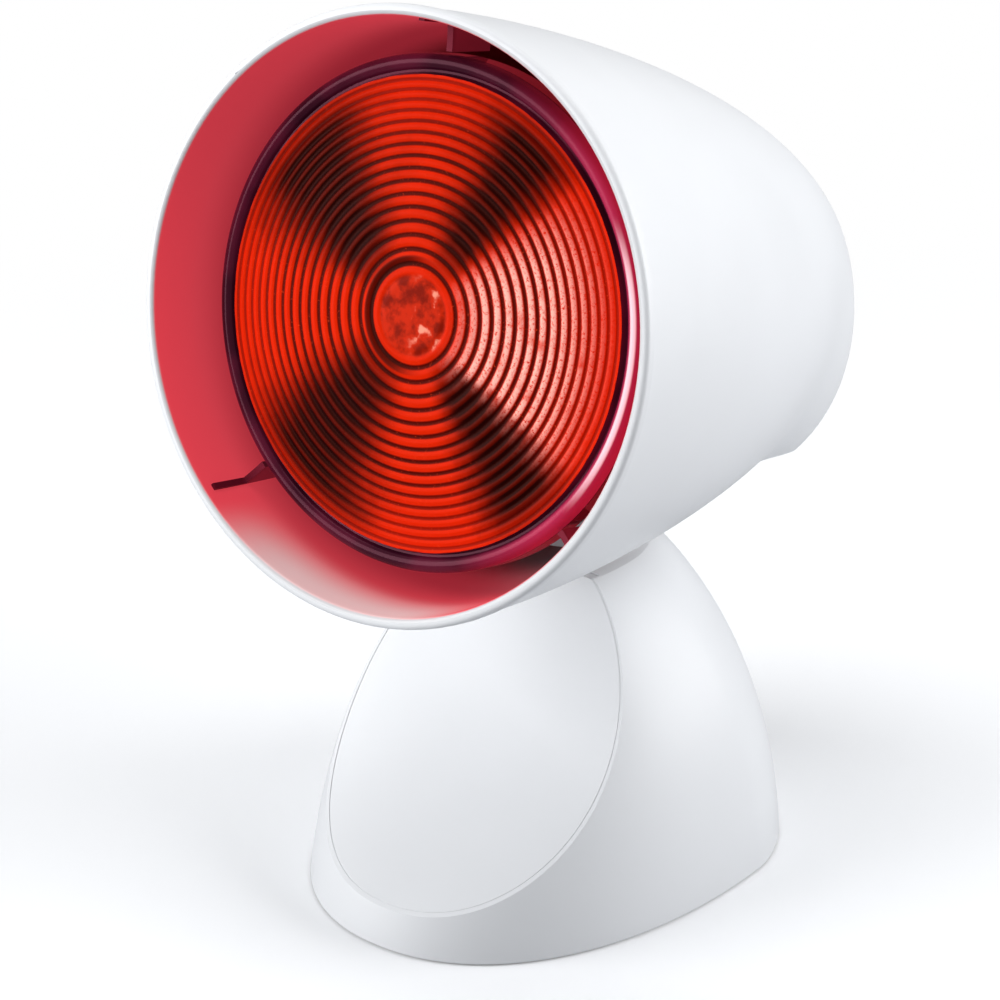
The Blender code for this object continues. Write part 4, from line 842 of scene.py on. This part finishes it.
def panel_slab(name, near, far, count=60):
    """A slab along the panel's face, from near to far behind it; a near below 0 is in front."""
    shape = bmesh.new()
    bmesh.ops.create_grid(shape, x_segments=count, y_segments=count, size=1)
    low = PANEL_TOE_HEIGHT - PANEL_THICKNESS - OVERRUN
    high = STAND_TOP + OVERRUN
    for vert in shape.verts:
        x = vert.co.x * (STAND_HALF_WIDTH + OVERRUN)
        height = low + (high - low) * (vert.co.y + 1) / 2
        vert.co = (x, panel_front(x, height) + near, height)
    lifted = bmesh.ops.extrude_face_region(shape, geom=shape.faces[:])["geom"]
    moved = [item for item in lifted if isinstance(item, bmesh.types.BMVert)]
    bmesh.ops.translate(shape, vec=(0, far - near, 0), verts=moved)
    return object_from(name, shape, STAND)


def screw_posts():
    """The dome's four inner posts, each with its blind hole for a base screw."""
    posts = []
    for number, (x, y) in enumerate(POST_PLACES, 1):
        post = upright_post(f"post_{number}", POST_RADIUS, POST_START, STAND_TOP, x, y, STAND)
        hole = upright_post(
            f"post_hole_{number}", POST_HOLE_RADIUS, -OVERRUN, POST_HOLE_TOP, x, y, STAND
        )
        posts.append(combine(post, "DIFFERENCE", hole))
    return posts


def panel_pocket():
    """What the dome gives up for the panel, behind its face and inside the seam's lip."""
    top = (STAND_TOP + WIDTH_PEAK) / 2
    pocket = stand_form("panel_pocket", SEAM_LIP, PANEL_TOE_HEIGHT - OVERRUN, top)
    slab = panel_slab("panel_back_cut", -STAND_FRONT, PANEL_THICKNESS + GAP)
    return combine(pocket, "INTERSECT", slab)


def column_way():
    """The opening that the hinge column comes up through."""
    half_width = COLUMN_WIDTH / 2 + GAP
    half_depth = COLUMN_DEPTH / 2 + GAP
    return block(
        "column_way",
        (-half_width, PIVOT_BEHIND - half_depth, STAND_TOP - STAND_WALL - OVERRUN),
        (half_width, PIVOT_BEHIND + half_depth, STAND_TOP + OVERRUN),
        STAND,
    )


def gland_hole():
    """The stepped hole for the inlet gland, low at the dome's back."""
    seat = max(y for _, y, _ in stand_section(GLAND_HEIGHT, 0, 4)) - GLAND_INSET
    inside = seat - STAND_WALL - OVERRUN
    outside = seat + OVERRUN
    body_radius = GLAND_BODY_RADIUS + GAP
    flange_radius = GLAND_FLANGE_RADIUS + GAP
    profile = [
        (0, inside), (body_radius, inside), (body_radius, seat),
        (flange_radius, seat), (flange_radius, outside), (0, outside),
    ]
    middle = STAND @ Matrix.Translation((0, 0, GLAND_HEIGHT))
    return lathe("gland_hole", profile, middle, GLAND_SPOKES)


def make_stand_shell(white):
    shell = stand_form("stand_shell_fine", 0, STAND_LIFT, STAND_TOP)
    hollow_low = STAND_LIFT - OVERRUN
    hollow_top = STAND_TOP - STAND_WALL
    hollow = stand_form("shell_hollow", STAND_WALL, hollow_low, hollow_top, rings=30, count=120)
    face = panel_slab("panel_side_cut", -STAND_FRONT, 0)
    skins = [Skin(shell), Skin(hollow), Skin(face)]
    combine(hollow, "DIFFERENCE", *screw_posts())
    combine(shell, "DIFFERENCE", hollow, face, panel_pocket(), column_way(), gland_hole())
    shade_from(shell, skins)
    dress(shell, [white])
    settle(shell, "stand", "white_shell", "stand_shell")


def make_front_panel(white):
    panel = panel_slab("front_panel_fine", 0, PANEL_THICKNESS)
    low = PANEL_TOE_HEIGHT - OVERRUN
    outline = stand_form("panel_outline", SEAM_LIP + SEAM_GAP, low, STAND_TOP - GAP)
    skins = [Skin(panel), Skin(outline)]
    combine(panel, "INTERSECT", outline)
    shade_from(panel, skins)
    dress(panel, [white])
    settle(panel, "stand", "white_panel", "front_panel")


# The shade
def bell_radius(back, radius, depth):
    share = min(max(back / depth, 0), 1)
    return radius * (1 - share**BELL_LENGTH_POWER) ** (1 / BELL_RADIUS_POWER)


def hood_reach(back, turn, inset):
    """How far from the lamp's axis the hood's ball lies, this far back and turned from straight up."""
    half_width, half_height = HOOD_HALF_WIDTH - inset, HOOD_RADIUS - inset
    room = 1 - ((back - HOOD_BACK) / half_height) ** 2
    square = (math.sin(turn) / half_width) ** 2 + (math.cos(turn) / half_height) ** 2
    slope = 2 * math.cos(turn) * HOOD_DROP / half_height**2
    rest = (HOOD_DROP / half_height) ** 2 - room
    under = slope**2 - 4 * square * rest
    return (math.sqrt(under) - slope) / (2 * square) if under > 0 and rest < 0 else 0


def shade_reach(back, turn, radius, depth, inset):
    """The bell and the hood together, with a soft fillet between them."""
    bell, hood = bell_radius(back, radius, depth), hood_reach(back, turn, inset)
    fillet = max(HOOD_BLEND - abs(bell - hood), 0) ** 2 / (4 * HOOD_BLEND) if hood > 0 else 0
    return max(bell, hood) + fillet


def shade_form(name, front, start, radius, depth, inset, count):
    """A closed form through its front rings and then back along the bell to its tip."""
    rings = [circle(*point) for point in front]
    turns = [2 * math.pi * i / SPOKES for i in range(SPOKES)]
    for i in range(1, count):
        back = start + (depth - start) * (1 - (1 - i / count) ** 2)
        reaches = [shade_reach(back, turn, radius, depth, inset) for turn in turns]
        rings.append([(r * math.sin(t), back, r * math.cos(t)) for r, t in zip(reaches, turns)])
    rings.append([(0, depth, 0)])
    return bridged(name, rings, HEAD)


def quarter_round(radius, back, corner, outward, count=6):
    """Points (radius, back) round a quarter circle, out from a front face or in from a mouth."""
    points = []
    for i in range(count + 1):
        turn = math.radians(90) * i / count
        points.append((radius + outward * corner * math.sin(turn), back - corner * math.cos(turn)))
    return points


def fin_form(name, turn):
    """A flat fin in a plane through the lamp's axis, with a low toe along the wall to the lip."""
    outline = [(FIN_TOE, RIM_RADIUS), (FIN_TOE, FIN_TOE_ACROSS)]
    for i in range(FIN_STEPS + 1):
        sweep = math.radians(90) * i / FIN_STEPS
        across = FIN_INNER + (RIM_RADIUS - FIN_INNER) * math.cos(sweep)
        if across < FIN_TOE_ACROSS:
            outline.append((FIN_FRONT + FIN_SLOPE * math.sin(sweep), across))
    outline += [(FIN_BACK, FIN_INNER), (FIN_BACK, RIM_RADIUS)]
    rings = [
        [(side * FIN_THICKNESS / 2, back, up) for back, up in outline] for side in (-1, 1)
    ]
    return bridged(name, rings, HEAD @ Matrix.Rotation(turn, 4, "Y"))


def vent_form(name, up):
    """One vent with round ends, cut straight through the shade's rear."""
    outline = []
    end_radius = VENT_HEIGHT / 2
    half = VENT_WIDTH / 2 - end_radius
    clear_of_middle = 0.01
    for i in range(VENT_SPOKES):
        turn = 2 * math.pi * i / VENT_SPOKES
        x = math.copysign(half, math.cos(turn + clear_of_middle)) + end_radius * math.cos(turn)
        outline.append((x, up + end_radius * math.sin(turn)))
    rings = [
        [(x, back, z) for x, z in outline]
        for back in (SHADE_DEPTH - VENT_DEPTH, SHADE_DEPTH + OVERRUN)
    ]
    return bridged(name, rings, HEAD)


def ear_posts():
    """The two inner posts that the bracket's ears are screwed to, each with its hole."""
    posts = []
    for number, side in enumerate((-1, 1), 1):
        place = (side * EAR_POST_X, EAR_POST_BACK, HEAD)
        post = upright_post(f"ear_post_{number}", EAR_POST_RADIUS, -RIM_RADIUS, EAR_POST_TOP, *place)
        bottom = EAR_POST_TOP - EAR_HOLE_DEPTH
        hole = upright_post(f"ear_hole_{number}", EAR_HOLE_RADIUS, bottom, OVERRUN, *place)
        posts.append(combine(post, "DIFFERENCE", hole))
    return posts


def floor_cut(name, inset):
    """What lies under the hood's flat floor."""
    return block(
        name,
        (-RIM_RADIUS, HOOD_FLOOR_START - inset, -RIM_RADIUS - OVERRUN),
        (RIM_RADIUS, SHADE_DEPTH + OVERRUN, -HOOD_FLOOR_DROP + inset),
        HEAD,
    )


def make_shade(white, inside, fin):
    lip = quarter_round(RIM_RADIUS - LIP_ROUND, LIP_ROUND, LIP_ROUND, 1)
    front = [(0, 0), *lip, (RIM_RADIUS, LIP_DEPTH - LIP_STEP), (RIM_RADIUS - LIP_STEP, LIP_DEPTH)]
    outer_radius = RIM_RADIUS - LIP_STEP
    shade = shade_form("shade_fine", front, LIP_DEPTH, outer_radius, SHADE_DEPTH, 0, SHADE_STEPS)
    inner_radius = outer_radius - SHADE_WALL
    mouth = quarter_round(inner_radius + LIP_ROUND, LIP_ROUND, LIP_ROUND, -1)
    front = [(0, -OVERRUN), (inner_radius + LIP_ROUND, -OVERRUN), *mouth]
    inner_depth = SHADE_DEPTH - SHADE_WALL
    hollow = shade_form(
        "shade_hollow", front, LIP_ROUND, inner_radius, inner_depth, SHADE_WALL, HOLLOW_STEPS
    )
    skins = [Skin(shade), Skin(hollow)]
    fins = [
        fin_form(f"fin_{number}", FIN_ROLL + place * FIN_SPREAD)
        for number, place in enumerate((-1, 0, 1), 1)
    ]
    floor = floor_cut("floor_inside", SHADE_WALL)
    combine(hollow, "DIFFERENCE", floor, *fins, *ear_posts())
    slot = block(
        "column_slot",
        (-SLOT_HALF_WIDTH, SLOT_START, -RIM_RADIUS - OVERRUN),
        (SLOT_HALF_WIDTH, SLOT_END, -HOOD_FLOOR_DROP + SHADE_WALL + SLOT_CUT_ABOVE),
        HEAD,
    )
    vents = [
        vent_form(f"vent_{i + 1}", (i - (VENT_COUNT - 1) / 2) * VENT_PITCH)
        for i in range(VENT_COUNT)
    ]
    combine(shade, "DIFFERENCE", floor_cut("floor_outside", 0), hollow, slot, *vents)
    hold_inside(shade)
    found = shade_from(shade, skins)

    def choose(face):
        if found[face.index] == 1:
            return 1
        x, back, up = HEAD_INVERSE @ face.center
        on_fin = found[face.index] < 0 and FIN_TOE - GAP < back < FIN_BACK + GAP
        return 2 if on_fin and math.hypot(x, up) < inner_radius + GAP else 0

    dress(shade, [white, inside, fin], choose)
    settle(shade, "head", "white_shade", "shade")


# The bulb
def nodes_object(name, build, inputs, material, place):
    """Runs one geometry tree with these named inputs and keeps its result as a plain mesh."""
    tree = bpy.data.node_groups.new(name, "GeometryNodeTree")
    tree.interface.new_socket("Geometry", in_out="OUTPUT", socket_type="NodeSocketGeometry")
    kinds = {float: "NodeSocketFloat", int: "NodeSocketInt"}
    for key, value in inputs.items():
        tree.interface.new_socket(key, in_out="INPUT", socket_type=kinds[type(value)])
    maker = NodeMaker(tree)
    entry = tree.nodes.new("NodeGroupInput")
    shape = build(maker, {key: Signal(maker, entry.outputs[key]) for key in inputs})
    real = maker.node("GeometryNodeRealizeInstances", None, {"Geometry": shape})
    dressed = maker.node("GeometryNodeSetMaterial", None, {"Geometry": real, "Material": material})
    maker.node("NodeGroupOutput", None, {0: dressed})
    obj = bpy.data.objects.new(name, bpy.data.meshes.new(name))
    bpy.context.scene.collection.objects.link(obj)
    modifier = obj.modifiers.new(name, "NODES")
    modifier.node_group = tree
    for item in tree.interface.items_tree:
        if item.in_out == "INPUT":
            modifier[item.identifier] = inputs[item.name]
    result = finished_mesh(obj)
    obj.modifiers.remove(modifier)
    obj.data = result
    result.transform(place)
    return obj


def unit_grid(maker, along_count, round_count):
    """A grid, with each point's share of the way along it and of the way round it."""
    sockets = {"Size X": 1.0, "Size Y": 1.0, "Vertices X": along_count, "Vertices Y": round_count}
    grid = maker.node("GeometryNodeMeshGrid", None, sockets)
    point = maker.node("GeometryNodeInputPosition")
    along, share = [
        maker.node("ShaderNodeSeparateXYZ", None, {0: point}, axis) + 0.5 for axis in ("X", "Y")
    ]
    return grid, along, share


def wrapped(maker, grid, radius, share, back):
    """The grid wrapped round the lamp's axis, at this radius and this far back, and closed."""
    turn = share * (2 * math.pi)
    sockets = {"X": radius * turn.sine(), "Y": back, "Z": radius * turn.cosine()}
    place = maker.node("ShaderNodeCombineXYZ", None, sockets)
    moved = maker.node("GeometryNodeSetPosition", None, {"Geometry": grid, "Position": place})
    sockets = {"Geometry": moved, "Distance": MERGE_DISTANCE}
    return maker.node("GeometryNodeMergeByDistance", None, sockets)


def ripple(count):
    """1 at each whole number of the count and 0 halfway between."""
    return (count * (2 * math.pi)).cosine() * 0.5 + 0.5


def ring_lens_tree(maker, size):
    """A round plate: one side of a grid runs out from the middle, the other round it."""
    steps = size["Rings"] * size["Steps per ring"] + 1
    grid, out, share = unit_grid(maker, steps, size["Spokes"])
    # Rings lie closer together towards the edge
    crowded = (1 - RING_CROWDING) * out + RING_CROWDING * out**3
    crest = ripple(crowded * size["Rings"])
    radius = out * size["Radius"]
    past_eye = maker.ease(radius, size["Eye radius"] * EYE_SOFT_SHARE, size["Eye radius"])
    inside_edge = maker.ease(out, 1.0, RING_EDGE_SHARE)
    groove = size["Ring depth"] * past_eye * inside_edge * (1 - crest)
    dome = size["Rise"] * (1 - out**2)
    height = crest * past_eye + (1 - past_eye) * EYE_RING_HEIGHT
    kept = maker.node(
        "GeometryNodeStoreNamedAttribute",
        {"data_type": "FLOAT", "domain": "POINT"},
        {"Geometry": grid, "Name": "ring_height", "Value": height},
    )
    return wrapped(maker, kept, radius, share, size["Edge back"] - dome + groove)


def lens_edge_profile():
    """Points (radius, back) from the rings' edge over the rim's bead and along the lens's back."""
    bead_back = BULB_RIM_BACK - RIM_BEAD
    bead_radius = BULB_RIM_RADIUS - RIM_BEAD
    groove_radius = LENS_RADIUS + (bead_radius - RIM_BEAD - LENS_RADIUS) / 2
    profile = [
        (LENS_RADIUS, LENS_EDGE_BACK),
        (LENS_RADIUS + LENS_STEP_OUT, LENS_EDGE_BACK + LENS_STEP_BACK),
        (groove_radius, LENS_EDGE_BACK + LENS_GROOVE_BACK),
    ]
    for i in range(BEAD_STEPS + 1):
        turn = math.radians(BEAD_FROM_DEGREES + BEAD_SWEEP_DEGREES * i / BEAD_STEPS)
        radius = bead_radius + RIM_BEAD * math.sin(turn)
        profile.append((radius, bead_back - RIM_BEAD * math.cos(turn)))
    profile.append((BULB_RIM_RADIUS, BULB_RIM_BACK))
    profile.append((BULB_RIM_RADIUS - GLASS_WALL, BULB_RIM_BACK))
    inner = LENS_RADIUS - GLASS_WALL
    for i in range(LENS_BACK_STEPS, -1, -1):
        share = i / LENS_BACK_STEPS
        back = LENS_EDGE_BACK - LENS_RISE * (1 - share**2) + LENS_THICKNESS
        profile.append((inner * share, back))
    return profile


def make_lens(glass, flange):
    sizes = {
        "Rings": RING_COUNT, "Steps per ring": STEPS_PER_RING, "Spokes": SPOKES + 1,
        "Radius": LENS_RADIUS, "Eye radius": EYE_RADIUS, "Ring depth": RING_DEPTH,
        "Rise": LENS_RISE, "Edge back": LENS_EDGE_BACK,
    }
    lens = nodes_object("ringed_lens", ring_lens_tree, sizes, glass, HEAD)
    rings = [circle(*point) for point in lens_edge_profile()]
    edge = bridged("lens_edge", rings, HEAD, capped=False)
    weld(lens, 2 * MERGE_DISTANCE, edge.data)
    bpy.data.objects.remove(edge)
    smooth(lens, LENS_SHARP)

    def choose(face):
        x, back, up = HEAD_INVERSE @ face.center
        front = (HEAD_INVERSE.to_3x3() @ face.normal).y < 0
        return 0 if math.hypot(x, up) < LENS_RADIUS and front else 1

    dress(lens, [glass, flange], choose)
    settle(lens, "bulb", "red_glass", "bulb_lens")


def make_reflector(glass):
    outer = [(BULB_RIM_RADIUS, BULB_RIM_BACK + GAP), (BULB_RIM_RADIUS, DISH_START)]
    focus = (DISH_RADIUS**2 - THROAT_RADIUS**2) / (4 * DISH_DEPTH)
    tip = DISH_START + DISH_RADIUS**2 / (4 * focus)
    for i in range(1, DISH_STEPS + 1):
        back = DISH_START + DISH_DEPTH * i / DISH_STEPS
        outer.append((math.sqrt(4 * focus * (tip - back)), back))
    outer.append((NECK_RADIUS, NECK_END - NECK_RADIUS / 2))
    outer.append((NECK_RADIUS, NECK_END))
    outer.append((COLLAR_RADIUS, CAP_START - GAP))
    inner = [(radius - GLASS_WALL, back) for radius, back in outer]
    reflector = lathe("reflector_glass", [*outer, *reversed(inner)], HEAD)
    smooth(reflector)
    dress(reflector, [glass])
    settle(reflector, "bulb", "dark_red_glass", "bulb_reflector")


def thread_tree(maker, size):
    """A tube from a grid whose radius follows a rolled thread that winds along it."""
    grid, along, share = unit_grid(maker, size["Steps"], size["Spokes"])
    length = along * size["Length"]
    crest = ripple(length / size["Pitch"] + share)
    depth = size["Depth"] * maker.ease(along, *THREAD_FADE_IN) * maker.ease(along, *THREAD_FADE_OUT)
    return wrapped(maker, grid, size["Radius"] - depth * crest, share, size["Start"] + length)


def turn_outwards(obj, middle):
    """Turns all the faces of an open tube if the largest one faces the middle."""
    shape = bmesh.new()
    shape.from_mesh(obj.data)
    face = max(shape.faces, key=lambda item: item.calc_area())
    if face.normal.dot(face.calc_center_median() - middle) < 0:
        bmesh.ops.reverse_faces(shape, faces=shape.faces)
    shape.to_mesh(obj.data)
    shape.free()


def make_cap(brass):
    sizes = {
        "Steps": THREAD_STEPS, "Spokes": THREAD_SPOKES + 1,
        "Start": CAP_START, "Length": CAP_SHELL_END - CAP_START,
        "Radius": CAP_RADIUS, "Depth": THREAD_DEPTH, "Pitch": THREAD_PITCH,
    }
    cap = nodes_object("threaded_cap", thread_tree, sizes, brass, HEAD)
    weld(cap)
    turn_outwards(cap, HEAD @ Vector((0, (CAP_START + CAP_SHELL_END) / 2, 0)))
    wall = cap.modifiers.new("wall", "SOLIDIFY")
    wall.thickness = CAP_WALL
    wall.offset = -1
    mesh = finished_mesh(cap)
    cap.modifiers.clear()
    cap.data = mesh
    smooth(cap)
    dress(cap, [brass])
    settle(cap, "bulb", "brass", "bulb_cap")


# The room: floor, light and camera
def make_floor():
    """A pale floor that keeps the shadow near the lamp and is plain white further out."""
    shape = bmesh.new()
    bmesh.ops.create_circle(shape, cap_ends=True, segments=FLOOR_SPOKES, radius=FLOOR_RADIUS)
    floor = object_from("floor", shape)
    finish = Finish("pale_floor")
    matt = finish.node("ShaderNodeBsdfDiffuse", None, {"Color": opaque(FLOOR_MATT)})
    glow = finish.node("ShaderNodeEmission", None, {"Color": (1, 1, 1, 1), "Strength": FLOOR_GLOW})
    near = finish.node("ShaderNodeAddShader", None, {0: matt, 1: glow})
    white = finish.node("ShaderNodeEmission", None, {"Color": (1, 1, 1, 1), "Strength": 1.0})
    across = finish.along((1, 0, 0))
    ahead = finish.along((0, 1, 0))
    distance = (across * across + ahead * ahead) ** 0.5
    far = finish.ease(distance, FLOOR_SHADOW_REACH, FLOOR_WHITE_REACH)
    lit = finish.node("ShaderNodeMixShader", None, {0: far, 1: near, 2: white})
    seen = finish.node("ShaderNodeLightPath", output="Is Camera Ray")
    dim = finish.node("ShaderNodeBsdfDiffuse", None, {"Color": opaque(FLOOR_BOUNCE)})
    shader = finish.node("ShaderNodeMixShader", None, {0: seen, 1: dim, 2: lit})
    floor.data.materials.append(finish.finished(shader))


def make_world():
    """A weak fill light, with a pale backdrop to the camera, in reflections and through glass."""
    world = bpy.data.worlds.new("pale_room")
    world.use_nodes = True
    world.node_tree.nodes.clear()
    maker = NodeMaker(world.node_tree)
    sockets = {"Color": opaque(FILL_COLOUR), "Strength": FILL_STRENGTH}
    fill = maker.node("ShaderNodeBackground", None, sockets)
    sockets = {"Color": opaque(BACKDROP_COLOUR), "Strength": 1.0}
    backdrop = maker.node("ShaderNodeBackground", None, sockets)
    seen = maker.node("ShaderNodeLightPath", output="Is Camera Ray")
    for kind in ("Is Glossy Ray", "Is Transmission Ray"):
        seen = seen.maths("MAXIMUM", seen, maker.node("ShaderNodeLightPath", output=kind))
    mixed = maker.node("ShaderNodeMixShader", None, {0: seen, 1: fill, 2: backdrop})
    maker.node("ShaderNodeOutputWorld", None, {"Surface": mixed})
    bpy.context.scene.world = world


def make_camera():
    data = bpy.data.cameras.new("photo_view")
    camera = bpy.data.objects.new("photo_view", data)
    bpy.context.scene.collection.objects.link(camera)
    place = Matrix((RIGHT, TOWARDS.cross(RIGHT), TOWARDS)).transposed().to_4x4()
    place.translation = TARGET + TOWARDS * CAMERA_DISTANCE
    camera.matrix_world = place
    data.sensor_width = CAMERA_SENSOR
    data.lens = CAMERA_LENS
    data.shift_x = CAMERA_SHIFT_X
    data.shift_y = CAMERA_SHIFT_Y
    bpy.context.scene.camera = camera


def soft_light(name, right, towards, up, power):
    """A square soft light, placed across, towards the camera and up from the lamp's middle."""
    data = bpy.data.lights.new(name, "AREA")
    data.size = LIGHT_SIZE
    data.energy = power
    light = bpy.data.objects.new(name, data)
    bpy.context.scene.collection.objects.link(light)
    ahead = Vector((TOWARDS.x, TOWARDS.y, 0)).normalized()
    light.location = TARGET + RIGHT * right + ahead * towards + Vector((0, 0, up))
    light.rotation_euler = (light.location - TARGET).to_track_quat("Z", "Y").to_euler()


def light_room():
    soft_light("left_soft", right=-1.28, towards=0.28, up=0.38, power=16.5)
    soft_light("right_soft", right=1.30, towards=0.12, up=0.46, power=16)
    soft_light("top_soft", right=-0.05, towards=-0.10, up=1.40, power=8)


def main():
    white = white_plastic("white_satin_plastic")
    panel_white = white_plastic("white_panel_plastic", gloss=0.30)
    shade_white = white_plastic("white_shade_plastic")
    make_stand_shell(white)
    make_front_panel(panel_white)
    make_shade(shade_white, shade_inside(), fin_shadow_painted())
    make_lens(ringed_glass(), flange_glass())
    make_reflector(reflector_glass())
    brass = rolled_metal("rolled_brass", (0.78, 0.58, 0.28), 0.24)
    make_cap(brass)
    finishes = {
        "black_plastic": moulded("black_base_plastic", (0.026, 0.027, 0.030), 0.42),
        "black_rubber": moulded("black_rubber_grip", (0.020, 0.020, 0.022), 0.72, 1200, 0.3),
        "zinc_steel": rolled_metal("zinc_plated_steel", (0.62, 0.63, 0.64), 0.26),
        "grey_nylon": moulded("grey_glass_nylon", (0.30, 0.31, 0.33), 0.46),
        "ceramic": fired_ceramic(),
        "brass": brass,
        "brown_wire": moulded("brown_wire_coat", (0.17, 0.075, 0.035), 0.40, 600),
        "blue_wire": moulded("blue_wire_coat", (0.025, 0.10, 0.38), 0.40, 600),
    }
    for node in frame["nodes"].values():
        slot = node.data.materials[0].name
        if slot in finishes:
            node.material_slots[0].material = finishes[slot]
    make_floor()
    make_world()
    make_camera()
    light_room()
    bpy.context.scene.view_settings.view_transform = "Standard"


main()
